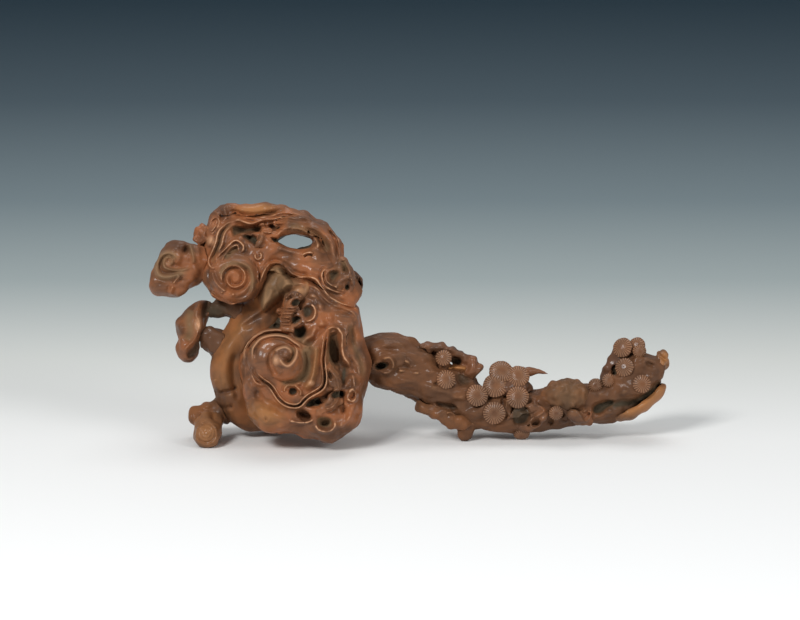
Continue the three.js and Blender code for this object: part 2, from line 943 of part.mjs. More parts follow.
piece(
  "curled_leaf",
  limb(
    onBranch(
      [
        [49, -20, 0, 80],
        [53, 5, 40, 100],
        [58, 10, 40, 100],
        [61, -12, 40, 100],
        [57, -42, 20, 90],
        [52, -62, 0, 70],
      ],
      CURL_RADIUS,
    ),
    { steps: 14 },
  ),
  TWIG_WOOD,
);
piece(
  "ruffled_leaf",
  limb(
    onBranch(
      [
        [69, -15, 60, 85],
        [74, -35, 30, 100],
        [78, -65, 0, 60],
      ],
      RUFFLE_RADIUS,
    ),
    { steps: 9 },
  ),
  TWIG_WOOD,
);

// The needle rosettes, front ones first: place along the handle, angle up from the front, lift off
// the skin in hundredths of the rosette's radius, and size in hundredths.
const rosetteRows = [
  [42.6, 57, 65, 100],
  [36.5, 22, 15, 92],
  [52.1, 38, 42, 92],
  [44, -6, 17, 92],
  [52.5, 71, 142, 92],
  [44, 75, 160, 100],
  [25, 22, 5, 80],
  [21.3, 55, 74, 67],
  [65.2, -12, 60, 58],
  [53.5, -74, 0, 67],
  [80.5, 61, 25, 62],
  [88, 52, 20, 58],
  [94, -15, 8, 75],
  [94.5, 40, 8, 83],
  [99, 38, 10, 58],
  [98, 70, 70, 83],
  [99.7, 62, 15, 67],
  [40, 155, 8, 90],
  [47, 170, 8, 90],
  [55, 145, 15, 90],
  [25, 150, 5, 80],
  [91, 160, 8, 80],
];
rosetteRows.forEach(([share, degrees, lift, size], index) => {
  const place = onHandle(share, degrees, (lift * ROSETTE_RADIUS) / 100);
  const facing = place.out.clone().addScaledVector(FRONT, 0.9 * Math.sign(place.out.dot(FRONT))).normalize();
  piece(
    `rosette_${String(index + 1).padStart(2, "0")}`,
    rosette(place.point, facing, (size * ROSETTE_RADIUS) / 100),
    NEEDLE_WOOD,
    [place.point, place.socket, PEG_RADIUS],
  );
});

// Everything below the table is cut away.
function tableSolid() {
  const size = 4 * (HANDLE_LENGTH + STEM_SPAN);
  const slab = new THREE.BoxGeometry(size, size, size);
  slab.translate(0, 0, -size / 2).rotateX(LEAN);
  return solidOf(slab);
}

// Each piece is cut to fit the ones seated before it, then gets its peg, and the others the socket.
const table = tableSolid();
const seated = [];
for (const { name, shape, colour, peg } of pieces) {
  let body = shape(0).subtract(table);
  for (const other of seated) {
    body = body.subtract(other.grown);
  }
  body = largest(body);
  if (peg) {
    body = body.add(pegSolid(peg, 0));
  }
  const grown = peg ? shape(GLUE_GAP).add(pegSolid(peg, GLUE_GAP)) : shape(GLUE_GAP);
  seated.push({ name, colour, peg, body, grown });
}

const carving = new THREE.Group();
carving.rotation.x = -LEAN;
seated.forEach(({ name, colour, body }, index) => {
  let fitted = body;
  seated.forEach(({ peg }, other) => {
    if (peg && other > index) {
      fitted = fitted.subtract(pegSolid(peg, GLUE_GAP));
    }
  });
  const { vertProperties, triVerts } = largest(fitted).getMesh();
  const geometry = new THREE.BufferGeometry();
  geometry.setAttribute("position", new THREE.BufferAttribute(new Float32Array(vertProperties), 3));
  geometry.setIndex(new THREE.BufferAttribute(new Uint32Array(triVerts), 1));
  geometry.computeVertexNormals();
  const mesh = new THREE.Mesh(geometry, new THREE.MeshStandardMaterial({ ...colour, metalness: 0 }));
  mesh.name = name;
  carving.add(mesh);
});

// The leaning carving is set on the table, centred over the origin.
const part = new THREE.Group();
part.add(carving);
part.updateMatrixWorld(true);
const bounds = new THREE.Box3().setFromObject(part, true);
const middle = bounds.getCenter(new THREE.Vector3());
part.position.set(-middle.x, -middle.y, -bounds.min.z);

export default part;
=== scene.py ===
import math

import bmesh
import bpy
import numpy as np
from mathutils import Matrix, Vector
from mathutils.bvhtree import BVHTree


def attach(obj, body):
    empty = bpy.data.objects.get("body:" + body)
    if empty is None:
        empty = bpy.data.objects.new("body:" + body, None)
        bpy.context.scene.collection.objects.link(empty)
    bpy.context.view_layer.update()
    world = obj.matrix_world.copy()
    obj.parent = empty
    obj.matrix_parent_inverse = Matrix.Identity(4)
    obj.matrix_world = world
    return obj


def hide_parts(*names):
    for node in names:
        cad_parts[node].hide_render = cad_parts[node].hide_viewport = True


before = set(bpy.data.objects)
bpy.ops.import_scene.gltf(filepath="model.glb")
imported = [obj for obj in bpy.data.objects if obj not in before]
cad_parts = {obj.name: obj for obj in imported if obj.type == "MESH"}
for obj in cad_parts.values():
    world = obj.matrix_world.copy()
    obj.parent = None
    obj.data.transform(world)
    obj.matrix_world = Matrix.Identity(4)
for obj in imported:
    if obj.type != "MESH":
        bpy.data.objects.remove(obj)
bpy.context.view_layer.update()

# The studio: a pale graduated sweep under one large soft lamp, with a smaller lamp on the other side.
# The camera looks down at the carved face by the face's own lean, so the face is seen square on.
LEAN = math.radians(12)
LENS_MM = 150
SENSOR_MM = 36
PICTURE_WIDTH = 800
PICTURE_HEIGHT = 620
EYE = np.array([-0.0051, -1.6170, 0.4097])
TOWARDS_EYE = np.array([0, -math.cos(LEAN), math.sin(LEAN)])
UP_THE_FACE = np.array([0, math.sin(LEAN), math.cos(LEAN)])

camera_data = bpy.data.cameras.new("camera")
camera_data.lens = LENS_MM
camera_data.sensor_width = SENSOR_MM
camera = bpy.data.objects.new("camera", camera_data)
camera.location = EYE
camera.rotation_euler = (math.pi / 2 - LEAN, 0, 0)
bpy.context.scene.collection.objects.link(camera)
bpy.context.scene.camera = camera
bpy.context.scene.view_settings.view_transform = "Standard"


def colour(red, green, blue):
    """A colour as it is seen on screen, as linear light."""
    shares = np.array([red, green, blue]) / 255
    linear = np.where(shares <= 0.04045, shares / 12.92, ((shares + 0.055) / 1.055) ** 2.4)
    return (*linear, 1)


LAMP_AIM = (0, 0, 0.05)


def lamp(name, place, size, watts):
    """A soft square lamp, turned to the object."""
    data = bpy.data.lights.new(name, "AREA")
    data.size = size
    data.energy = watts
    made = bpy.data.objects.new(name, data)
    made.location = place
    made.rotation_euler = (Vector(LAMP_AIM) - Vector(place)).to_track_quat("-Z", "Y").to_euler()
    bpy.context.scene.collection.objects.link(made)


lamp("key_lamp", (-0.8, -1.1, 1.2), 0.5, 19)
lamp("side_lamp", (1.1, -0.9, 0.8), 0.6, 7)
lamp("top_lamp", (0.1, 0.5, 1.4), 0.8, 6)

ROOM_TINT = (0.9, 0.95, 1, 1)
ROOM_LIGHT = 0.29
world = bpy.data.worlds.new("studio")
world.use_nodes = True
room = world.node_tree.nodes["Background"]
room.inputs["Color"].default_value = ROOM_TINT
room.inputs["Strength"].default_value = ROOM_LIGHT
bpy.context.scene.world = world

FLOOR_FRONT = -1.2
FLOOR_BACK = 2.4
FLOOR_HALF_WIDTH = 2
SWEEP_ROUGHNESS = 0.9
SWEEP_SHINE = 0.1
SWEEP_SHADES = [
    (-0.30, colour(250, 250, 249)),
    (0.00, colour(238, 238, 236)),
    (0.18, colour(214, 216, 212)),
    (0.40, colour(166, 176, 176)),
    (0.68, colour(129, 143, 148)),
    (1.16, colour(92, 108, 117)),
    (1.88, colour(58, 80, 93)),
]
floor_mesh = bpy.data.meshes.new("floor")
floor_mesh.from_pydata(
    [
        (-FLOOR_HALF_WIDTH, FLOOR_FRONT, 0),
        (FLOOR_HALF_WIDTH, FLOOR_FRONT, 0),
        (FLOOR_HALF_WIDTH, FLOOR_BACK, 0),
        (-FLOOR_HALF_WIDTH, FLOOR_BACK, 0),
    ],
    [],
    [(0, 1, 2, 3)],
)
floor = bpy.data.objects.new("floor", floor_mesh)
bpy.context.scene.collection.objects.link(floor)
sweep = bpy.data.materials.new("sweep")
sweep.use_nodes = True
nodes = sweep.node_tree.nodes
links = sweep.node_tree.links
place = nodes.new("ShaderNodeTexCoord")
split = nodes.new("ShaderNodeSeparateXYZ")
share = nodes.new("ShaderNodeMapRange")
share.inputs["From Min"].default_value = FLOOR_FRONT
share.inputs["From Max"].default_value = FLOOR_BACK
shades = nodes.new("ShaderNodeValToRGB")
for index, (reach, shade) in enumerate(SWEEP_SHADES):
    position = (reach - FLOOR_FRONT) / (FLOOR_BACK - FLOOR_FRONT)
    stop = shades.color_ramp.elements[index] if index < 2 else shades.color_ramp.elements.new(position)
    stop.position = position
    stop.color = shade
links.new(place.outputs["Object"], split.inputs[0])
links.new(split.outputs["Y"], share.inputs["Value"])
links.new(share.outputs["Result"], shades.inputs["Fac"])
shader = nodes["Principled BSDF"]
links.new(shades.outputs["Color"], shader.inputs["Base Color"])
shader.inputs["Roughness"].default_value = SWEEP_ROUGHNESS
shader.inputs["Specular IOR Level"].default_value = SWEEP_SHINE
floor_mesh.materials.append(sweep)

# The hook stem: the gnarled branch that drops behind the lower cap and climbs to the upper one.
# It is cut from the solid as the blank leaves the saw, rounded, and given long sinews with a gouge.


def settle(piece):
    """A piece's modifiers, turned into plain mesh."""
    graph = bpy.context.evaluated_depsgraph_get()
    mesh = bpy.data.meshes.new_from_object(piece.evaluated_get(graph))
    piece.modifiers.clear()
    before = piece.data
    piece.data = mesh
    bpy.data.meshes.remove(before)


RUB_SHARE = 0.5


def even_out(piece, voxel, rounds):
    """One even skin of small squares over a piece, with its facets rubbed down."""
    remesh = piece.modifiers.new("skin", "REMESH")
    remesh.mode = "VOXEL"
    remesh.voxel_size = voxel / 1000
    if rounds:
        rub = piece.modifiers.new("rub", "SMOOTH")
        rub.factor = RUB_SHARE
        rub.iterations = rounds
    settle(piece)


SEAM_REACH = 2
WELD_GAP = 1e-6
THIN_FORMS = ("rosette", "window_twig", "hollow_twig", "root_strand")


def fused_skin(voxel, rounds):
    """One skin over the whole carving, as before its forms were parted, with the seams rounded over."""
    every = bmesh.new()
    for node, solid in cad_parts.items():
        if not node.startswith(THIN_FORMS):
            every.from_mesh(solid.data)
    bmesh.ops.remove_doubles(every, verts=every.verts, dist=WELD_GAP)
    mesh = bpy.data.meshes.new("fused")
    every.to_mesh(mesh)
    every.free()
    whole = bpy.data.objects.new("fused", mesh)
    bpy.context.scene.collection.objects.link(whole)
    even_out(whole, voxel, rounds)
    mesh = whole.data
    corners = [vertex.co for vertex in mesh.vertices]
    faces = [face.vertices for face in mesh.polygons]
    tree = BVHTree.FromPolygons(corners, faces)
    bpy.data.objects.remove(whole)
    bpy.data.meshes.remove(mesh)
    return tree


skin = fused_skin(voxel=0.8, rounds=9)


def rough_out(node, voxel, rounds, strands=()):
    """A blank for a carved piece, from its CAD solid and any strands laid on it.
    The voxel size is in millimetres."""
    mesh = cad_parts[node].data.copy()
    mesh.materials.clear()
    welded = bmesh.new()
    welded.from_mesh(mesh)
    for laid in strands:
        welded.from_mesh(laid)
        bpy.data.meshes.remove(laid)
    bmesh.ops.remove_doubles(welded, verts=welded.verts, dist=WELD_GAP)
    welded.to_mesh(mesh)
    welded.free()
    piece = bpy.data.objects.new(node + "_carved", mesh)
    bpy.context.scene.collection.objects.link(piece)
    even_out(piece, voxel, rounds)
    return piece


def refine(piece):
    """Each square of a piece's skin, split in four and rounded."""
    split_up = piece.modifiers.new("split", "SUBSURF")
    split_up.levels = 1
    split_up.render_levels = 1
    settle(piece)


KEPT_SHARE = 0.6


def thin_out(piece):
    """Fewer faces where a piece's skin is nearly flat, with its edges and cuts kept."""
    fewer = piece.modifiers.new("thin", "DECIMATE")
    fewer.ratio = KEPT_SHARE
    settle(piece)


def points_of(piece):
    """A piece's points in millimetres, and which way its skin faces at each."""
    mesh = piece.data
    points = np.empty(len(mesh.vertices) * 3)
    mesh.vertices.foreach_get("co", points)
    facing = np.empty(len(mesh.vertices) * 3)
    mesh.vertex_normals.foreach_get("vector", facing)
    return 1000 * points.reshape(-1, 3), facing.reshape(-1, 3)


def move_to(piece, points):
    """A piece's points, put at new places in millimetres."""
    piece.data.vertices.foreach_set("co", (points / 1000).ravel())
    piece.data.update()


def lay_on_skin(piece):
    """A blank, drawn onto the fused skin wherever it lies close to it, so that the seams don't show."""
    points, _ = points_of(piece)
    found = [skin.find_nearest(point, SEAM_REACH / 1000) for point in points / 1000]
    spots = np.array([hit[0] if hit[0] else point / 1000 for hit, point in zip(found, points)]) * 1000
    gaps = np.linalg.norm(spots - points, axis=1)
    share = 1 - np.clip(2 * gaps / SEAM_REACH - 1, 0, 1)
    move_to(piece, points + share[:, None] * (spots - points))


WAVES = 20
WAVE_SHARES = (0.6, 1.5)


def ripple(points, size, seed, stretch=(1, 1, 1)):
    """Smooth random swells about `size` millimetres long, longer where `stretch` is below one."""
    chance = np.random.default_rng(seed)
    waves = chance.normal(size=(3, WAVES))
    waves *= chance.uniform(*WAVE_SHARES, WAVES) * 2 * math.pi / size / np.linalg.norm(waves, axis=0)
    starts = chance.uniform(0, 2 * math.pi, WAVES)
    return np.sin((points * np.array(stretch)) @ waves + starts).sum(axis=1) / math.sqrt(WAVES / 2)


KEPT_FLAT = 0.5
FLAT_FADE = 3


def gnarl(piece, size, height, seed, stretch=(1, 1, 1)):
    """Swells cut into the whole skin of a piece, with flat table points left alone."""
    points, facing = points_of(piece)
    clear = np.clip((points[:, 2] - KEPT_FLAT) / FLAT_FADE, 0, 1)
    amount = height * ripple(points, size, seed, stretch) * clear
    move_to(piece, points + facing * amount[:, None])


TABLE_SKIN = 0.1


def swell(piece, height):
    """The whole skin, moved out by a little."""
    points, facing = points_of(piece)
    amount = height * np.clip(points[:, 2] - TABLE_SKIN, 0, 1)
    move_to(piece, points + facing * amount[:, None])


def rubbed(points, edges, rounds):
    """Points, each drawn towards its neighbours."""
    ends = np.concatenate((edges[:, 0], edges[:, 1]))
    others = np.concatenate((edges[:, 1], edges[:, 0]))
    count = np.bincount(ends, minlength=len(points))
    for _ in range(rounds):
        mean = [np.bincount(ends, points[others, axis], len(points)) / count for axis in range(3)]
        points = (points + np.column_stack(mean)) / 2
    return points


def edges_of(piece):
    """The two ends of each edge of a piece."""
    edges = np.empty(len(piece.data.edges) * 2, np.int64)
    piece.data.edges.foreach_get("vertices", edges)
    return edges.reshape(-1, 2)


def mark(piece, name, values):
    """A value for each point of a piece, which its wood reads."""
    layer = piece.data.attributes.new(name, "FLOAT", "POINT")
    layer.data.foreach_set("value", values.astype(np.float32))


NEAR_ROUNDS = 8
FAR_ROUNDS = 70


def mark_relief(piece, gain=1):
    """How far each point lies in a hollow, or stands on a ridge as a value below zero."""
    points, facing = points_of(piece)
    edges = edges_of(piece)
    near = rubbed(points, edges, NEAR_ROUNDS)
    far = rubbed(near, edges, FAR_ROUNDS)
    mark(piece, "fine_relief", gain * ((near - points) * facing).sum(axis=1))
    mark(piece, "broad_relief", ((far - points) * facing).sum(axis=1))


def seat(piece, node, slot, wood, gain=1):
    """A finished piece, put in the place of its CAD solid."""
    mark_relief(piece, gain)
    thin_out(piece)
    piece.data.materials.clear()
    piece.data.materials.append(wood)
    piece.data.shade_smooth()
    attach(piece, "root")
    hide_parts(node)


def new_group(name, inputs, outputs):
    """A shader node group with named sockets, and its two end nodes."""
    tree = bpy.data.node_groups.new(name, "ShaderNodeTree")
    for label, kind, value in inputs:
        socket = tree.interface.new_socket(label, in_out="INPUT", socket_type=kind)
        socket.default_value = value
    for label, kind in outputs:
        tree.interface.new_socket(label, in_out="OUTPUT", socket_type=kind)
    return tree, tree.nodes.new("NodeGroupInput"), tree.nodes.new("NodeGroupOutput")


def maths(tree, operation, *values):
    """A sum in a shader, from sockets and plain numbers."""
    node = tree.nodes.new("ShaderNodeMath")
    node.operation = operation
    for socket, value in zip(node.inputs, values):
        if isinstance(value, (int, float)):
            socket.default_value = value
        else:
            tree.links.new(value, socket)
    return node.outputs[0]


def range_of(tree, source, low, high, into):
    """A value between `low` and `high`, as a share from nought to `into`."""
    node = tree.nodes.new("ShaderNodeMapRange")
    node.interpolation_type = "SMOOTHSTEP"
    for label, value in (("From Min", low), ("From Max", high), ("To Max", into)):
        node.inputs[label].default_value = value
    tree.links.new(source, node.inputs["Value"])
    return node.outputs["Result"]


def blend_colours(tree, share, first, second):
    """Two colours, with so much of the second in the first."""
    node = tree.nodes.new("ShaderNodeMix")
    node.data_type = "RGBA"
    tree.links.new(share, node.inputs["Factor"])
    tree.links.new(first, node.inputs[6])
    tree.links.new(second, node.inputs[7])
    return node.outputs[2]


def speckle(tree, source, scale, detail, distortion=0.0):
    """Soft random spots over a surface."""
    node = tree.nodes.new("ShaderNodeTexNoise")
    for label, value in (("Scale", scale), ("Detail", detail), ("Distortion", distortion)):
        node.inputs[label].default_value = value
    tree.links.new(source, node.inputs["Vector"])
    return node.outputs["Fac"]


# Long grain: darker streaks drawn out along the wood, and short open pores.
STREAK_SHARE = 0.55
CLOUD_SHARE = 0.45
PORE_SHARE = 0.4
grain, given, made = new_group(
    "long_grain",
    [("Stretch", "NodeSocketVector", (1, 1, 1)), ("Streak Depth", "NodeSocketFloat", 0.5)],
    [("Shade", "NodeSocketFloat"), ("Cloud", "NodeSocketFloat"), ("Height", "NodeSocketFloat")],
)
place = grain.nodes.new("ShaderNodeTexCoord").outputs["Object"]
drawn = grain.nodes.new("ShaderNodeVectorMath")
drawn.operation = "MULTIPLY"
grain.links.new(place, drawn.inputs[0])
grain.links.new(given.outputs["Stretch"], drawn.inputs[1])
streaks = speckle(grain, drawn.outputs["Vector"], scale=260, detail=5, distortion=0.6)
pores = speckle(grain, drawn.outputs["Vector"], scale=1500, detail=2)
clouds = speckle(grain, place, scale=70, detail=3)
softer = maths(grain, "MULTIPLY", clouds, CLOUD_SHARE)
both = maths(grain, "MULTIPLY_ADD", streaks, STREAK_SHARE, softer)
centred = maths(grain, "SUBTRACT", both, 0.5)
shade = maths(grain, "MULTIPLY_ADD", centred, given.outputs["Streak Depth"], 0.5)
height = maths(grain, "MULTIPLY_ADD", pores, PORE_SHARE, streaks)
for label, source in (("Shade", shade), ("Cloud", clouds), ("Height", height)):
    grain.links.new(source, made.inputs[label])

# Wear and painted light: ridges rubbed pale and glossy by hands, painted highlights in that pale colour, dry
# dust in broad valleys, and painted shade in creases, hollows and dark patches.
wear_and_painted_light, given, made = new_group(
    "wear_and_painted_light",
    [
        ("Wood", "NodeSocketColor", (0.3, 0.12, 0.05, 1)),
        ("Dark Wood", "NodeSocketColor", (0.12, 0.05, 0.025, 1)),
        ("Warm Wood", "NodeSocketColor", (0.35, 0.12, 0.04, 1)),
        ("Worn", "NodeSocketColor", (0.5, 0.22, 0.07, 1)),
        ("Rubbed_And_Highlight", "NodeSocketColor", (0.6, 0.3, 0.16, 1)),
        ("Shaded_Crease", "NodeSocketColor", (0.05, 0.025, 0.015, 1)),
        ("Dust", "NodeSocketColor", (0.12, 0.09, 0.06, 1)),
        ("Shaded_Hollow", "NodeSocketColor", (0.04, 0.03, 0.02, 1)),
        ("Shade", "NodeSocketFloat", 0.5),
        ("Cloud", "NodeSocketFloat", 0.5),
        ("Rubbed Amount", "NodeSocketFloat", 0.7),
        ("Dust Amount", "NodeSocketFloat", 0.9),
        ("Wax Amount", "NodeSocketFloat", 0.3),
    ],
    [("Colour", "NodeSocketColor"), ("Roughness", "NodeSocketFloat"), ("Wax", "NodeSocketFloat")],
)


def marked(name):
    """The value that `mark` gave each point of a piece."""
    node = wear_and_painted_light.nodes.new("ShaderNodeAttribute")
    node.attribute_name = name
    return node.outputs["Fac"]


RIDGE_RANGE = (0.05, 0.4, 1)
CREST_RANGE = (0.4, 2.5, 0.3)
CREASE_RANGE = (0.05, 0.35, 0.85)
VALLEY_RANGE = (0.4, 2.6, 0.7)
WARM_RANGE = (0.42, 0.66, 0.8)
RUBBED_GLOSS = -0.16
DUSTY_MATT = 0.35
BARE_ROUGHNESS = 0.58
dark_wood = given.outputs["Dark Wood"]
fine_relief = marked("fine_relief")
broad_relief = marked("broad_relief")
ridge_share = range_of(wear_and_painted_light, maths(wear_and_painted_light, "MULTIPLY", fine_relief, -1), *RIDGE_RANGE)
crest_share = range_of(wear_and_painted_light, maths(wear_and_painted_light, "MULTIPLY", broad_relief, -1), *CREST_RANGE)
rub_and_highlight_share = maths(wear_and_painted_light, "MAXIMUM", ridge_share, crest_share)
rub_and_highlight_share = maths(wear_and_painted_light, "MULTIPLY", rub_and_highlight_share, given.outputs["Rubbed Amount"])
# Painted highlights take the same pale colour as the rubbed ridges.
rub_and_highlight_share = maths(wear_and_painted_light, "MAXIMUM", rub_and_highlight_share, marked("glint"))
# Painted shade in fine creases.
crease_shade_share = range_of(wear_and_painted_light, fine_relief, *CREASE_RANGE)
valley_share = range_of(wear_and_painted_light, broad_relief, *VALLEY_RANGE)
dust_share = maths(wear_and_painted_light, "MAXIMUM", valley_share, marked("dust"))
dust_share = maths(wear_and_painted_light, "MULTIPLY", dust_share, given.outputs["Dust Amount"])
warm_share = range_of(wear_and_painted_light, given.outputs["Cloud"], *WARM_RANGE)
body_colour = blend_colours(wear_and_painted_light, given.outputs["Shade"], dark_wood, given.outputs["Wood"])
body_colour = blend_colours(wear_and_painted_light, warm_share, body_colour, given.outputs["Warm Wood"])
# The piece's own darker tone and patches of painted shade, both towards the dark wood.
body_colour = blend_colours(wear_and_painted_light, marked("tone_and_shade"), body_colour, dark_wood)
body_colour = blend_colours(wear_and_painted_light, marked("worn"), body_colour, given.outputs["Worn"])
rub_and_highlight_colour = blend_colours(wear_and_painted_light, rub_and_highlight_share, body_colour, given.outputs["Rubbed_And_Highlight"])
dusty_colour = blend_colours(wear_and_painted_light, dust_share, rub_and_highlight_colour, given.outputs["Dust"])
crease_shaded_colour = blend_colours(wear_and_painted_light, crease_shade_share, dusty_colour, given.outputs["Shaded_Crease"])
# Painted shade in deep cuts and dark patches, in the hollow colour.
full_colour = blend_colours(wear_and_painted_light, marked("depth"), crease_shaded_colour, given.outputs["Shaded_Hollow"])
gloss = maths(wear_and_painted_light, "MULTIPLY", rub_and_highlight_share, RUBBED_GLOSS)
matt = maths(wear_and_painted_light, "MULTIPLY", dust_share, DUSTY_MATT)
roughness = maths(wear_and_painted_light, "ADD", maths(wear_and_painted_light, "ADD", gloss, matt), BARE_ROUGHNESS)
dull_share = maths(wear_and_painted_light, "MAXIMUM", dust_share, marked("depth"))
clean_share = maths(wear_and_painted_light, "SUBTRACT", 1, dull_share)
wax = maths(wear_and_painted_light, "MULTIPLY", clean_share, given.outputs["Wax Amount"])
for label, source in (("Colour", full_colour), ("Roughness", roughness), ("Wax", wax)):
    wear_and_painted_light.links.new(source, made.inputs[label])

WORN_WOOD = colour(174, 118, 68)
DRY_DUST = colour(122, 98, 71)
# Painted shade: the first colour darkens fine creases, the second darkens deep cuts and dark patches.
CREASE_SHADE = colour(74, 49, 34)
HOLLOW_SHADE = colour(72, 62, 48)
GRAIN_STRENGTH = 0.3
GRAIN_HEIGHT = 0.0004
BARE_SHINE = 0.12
WAX_ROUGHNESS = 0.16


def carved_wood(name, wood, dark, warm, pale_rub_and_highlight, stretch, streak=3.4, rub=0.8, dust_amount=0.85, wax=0.3):
    """A waxed carving wood: its colours, and the way its grain runs."""
    material = bpy.data.materials.new(name)
    material.use_nodes = True
    tree = material.node_tree
    shader = tree.nodes["Principled BSDF"]
    grain_node = tree.nodes.new("ShaderNodeGroup")
    grain_node.node_tree = grain
    wear_and_painted_light_node = tree.nodes.new("ShaderNodeGroup")
    wear_and_painted_light_node.node_tree = wear_and_painted_light
    bump_node = tree.nodes.new("ShaderNodeBump")
    # The rubbed colour also paints highlights, and the crease and hollow colours paint shade.
    for node, label, value in (
        (grain_node, "Stretch", stretch),
        (grain_node, "Streak Depth", streak),
        (wear_and_painted_light_node, "Wood", wood),
        (wear_and_painted_light_node, "Dark Wood", dark),
        (wear_and_painted_light_node, "Warm Wood", warm),
        (wear_and_painted_light_node, "Worn", WORN_WOOD),
        (wear_and_painted_light_node, "Rubbed_And_Highlight", pale_rub_and_highlight),
        (wear_and_painted_light_node, "Shaded_Crease", CREASE_SHADE),
        (wear_and_painted_light_node, "Dust", DRY_DUST),
        (wear_and_painted_light_node, "Shaded_Hollow", HOLLOW_SHADE),
        (wear_and_painted_light_node, "Rubbed Amount", rub),
        (wear_and_painted_light_node, "Dust Amount", dust_amount),
        (wear_and_painted_light_node, "Wax Amount", wax),
        (bump_node, "Strength", GRAIN_STRENGTH),
        (bump_node, "Distance", GRAIN_HEIGHT),
        (shader, "Specular IOR Level", BARE_SHINE),
        (shader, "Coat Roughness", WAX_ROUGHNESS),
    ):
        node.inputs[label].default_value = value
    for source, socket in (
        (grain_node.outputs["Shade"], wear_and_painted_light_node.inputs["Shade"]),
        (grain_node.outputs["Cloud"], wear_and_painted_light_node.inputs["Cloud"]),
        (grain_node.outputs["Height"], bump_node.inputs["Height"]),
        (wear_and_painted_light_node.outputs["Colour"], shader.inputs["Base Color"]),
        (wear_and_painted_light_node.outputs["Roughness"], shader.inputs["Roughness"]),
        (wear_and_painted_light_node.outputs["Wax"], shader.inputs["Coat Weight"]),
        (bump_node.outputs["Normal"], shader.inputs["Normal"]),
    ):
        tree.links.new(source, socket)
    return material


stem_wood = carved_wood(
    "stem_wood",
    wood=colour(138, 92, 58),
    dark=colour(86, 59, 42),
    warm=colour(147, 92, 53),
    pale_rub_and_highlight=colour(184, 136, 96),
    stretch=(1, 1, 0.25),
    wax=0.16,
)


def on_picture(points):
    """Where points of the object, in millimetres, fall on the picture, in pixels."""
    offset = points / 1000 - EYE
    scale = PICTURE_WIDTH * LENS_MM / SENSOR_MM / -(offset @ TOWARDS_EYE)
    across = PICTURE_WIDTH / 2 + offset[:, 0] * scale
    down = PICTURE_HEIGHT / 2 - (offset @ UP_THE_FACE) * scale
    return np.column_stack((across, down))


def smooth_step(low, high, value):
    """A share that climbs softly from nought at `low` to one at `high`."""
    share = np.clip((value - low) / (high - low), 0, 1)
    return share * share * (3 - 2 * share)


LINE_STEPS = 6


def smooth_line(points, closed=False):
    """A smooth line through points of the picture."""
    knots = np.array(points, float)
    if closed:
        knots = np.vstack((knots[-1], knots, knots[0], knots[1]))
    else:
        knots = np.vstack((2 * knots[0] - knots[1], knots, 2 * knots[-1] - knots[-2]))
    run = np.linspace(0, 1, LINE_STEPS, endpoint=False)[:, None]
    spans = []
    for before, start, end, after in zip(knots, knots[1:], knots[2:], knots[3:]):
        bend = 2 * before - 5 * start + 4 * end - after
        twist = 3 * start - before - 3 * end + after
        spans.append(start + ((end - before) * run + bend * run**2 + twist * run**3) / 2)
    return np.vstack((*spans, knots[-2]))


def beside(spots, line):
    """How far spots lie from a line, on its right as a value above zero, and how far along it."""
    nearest = np.full(len(spots), np.inf)
    side = np.zeros(len(spots))
    share = np.zeros(len(spots))
    for index, (start, end) in enumerate(zip(line, line[1:])):
        step = end - start
        offset = spots - start
        run = np.clip(offset @ step / (step @ step), 0, 1)
        gap = ((offset - run[:, None] * step) ** 2).sum(axis=1)
        closer = gap < nearest
        nearest[closer] = gap[closer]
        side[closer] = np.sign(step[0] * offset[:, 1] - step[1] * offset[:, 0])[closer]
        share[closer] = (index + run[closer]) / (len(line) - 1)
    return np.sqrt(nearest), side, share


def near_only(line, reach, shape):
    """A cut that looks only at the spots near its line."""
    low = line.min(axis=0) - reach
    high = line.max(axis=0) + reach

    def cut(spots):
        lift = np.zeros(len(spots))
        near = np.all((spots > low) & (spots < high), axis=1)
        if near.any():
            lift[near] = shape(spots[near])
        return lift

    return cut


MOAT_PLACE = 2.1
CUT_REACH = 4


def ridge(points, height, left, right=None, taper=0.12, moat=0.4):
    """A fold along a line, in millimetres high and pixels wide to its left and right, with the wood
    cut down beside it by a share of its height. Below nought, a groove."""
    line = smooth_line(points)
    right = right or left
    cut_down = moat * max(height, 0)

    def shape(spots):
        gap, side, share = beside(spots, line)
        widths = gap / np.where(side > 0, right, left)
        ends = smooth_step(0, taper, np.minimum(share, 1 - share)) if taper else 1
        return (height * np.exp(-(widths**2)) - cut_down * np.exp(-((widths - MOAT_PLACE) ** 2))) * ends

    return near_only(line, CUT_REACH * max(left, right), shape)


GROOVE_SHARE = 0.6
RIM_REACH = 2.6


def double_rim(points, height, width, apart, closed=False, taper=0.1):
    """Two fine rims side by side with a groove between."""
    line = smooth_line(points, closed)

    def shape(spots):
        gap, _, share = beside(spots, line)
        rims = np.exp(-(((gap - apart / 2) / width) ** 2)) - GROOVE_SHARE * np.exp(-((gap / width) ** 2))
        ends = 1 if closed else smooth_step(0, taper, np.minimum(share, 1 - share))
        return height * rims * ends

    return near_only(line, apart + RIM_REACH * width, shape)


def hollow(points, depth, edge):
    """A cut inside a closed outline, full depth from `edge` pixels inside. Below nought, a raised pad."""
    line = smooth_line(points, closed=True)

    def shape(spots):
        gap, _, _ = beside(spots, line)
        inside = np.zeros(len(spots), bool)
        for start, end in zip(line, line[1:]):
            if start[1] == end[1]:
                continue
            between = (start[1] > spots[:, 1]) != (end[1] > spots[:, 1])
            crossing = start[0] + (spots[:, 1] - start[1]) * (end[0] - start[0]) / (end[1] - start[1])
            inside ^= between & (spots[:, 0] < crossing)
        return -depth * smooth_step(0, edge, np.where(inside, gap, 0))

    return near_only(line, 1, shape)


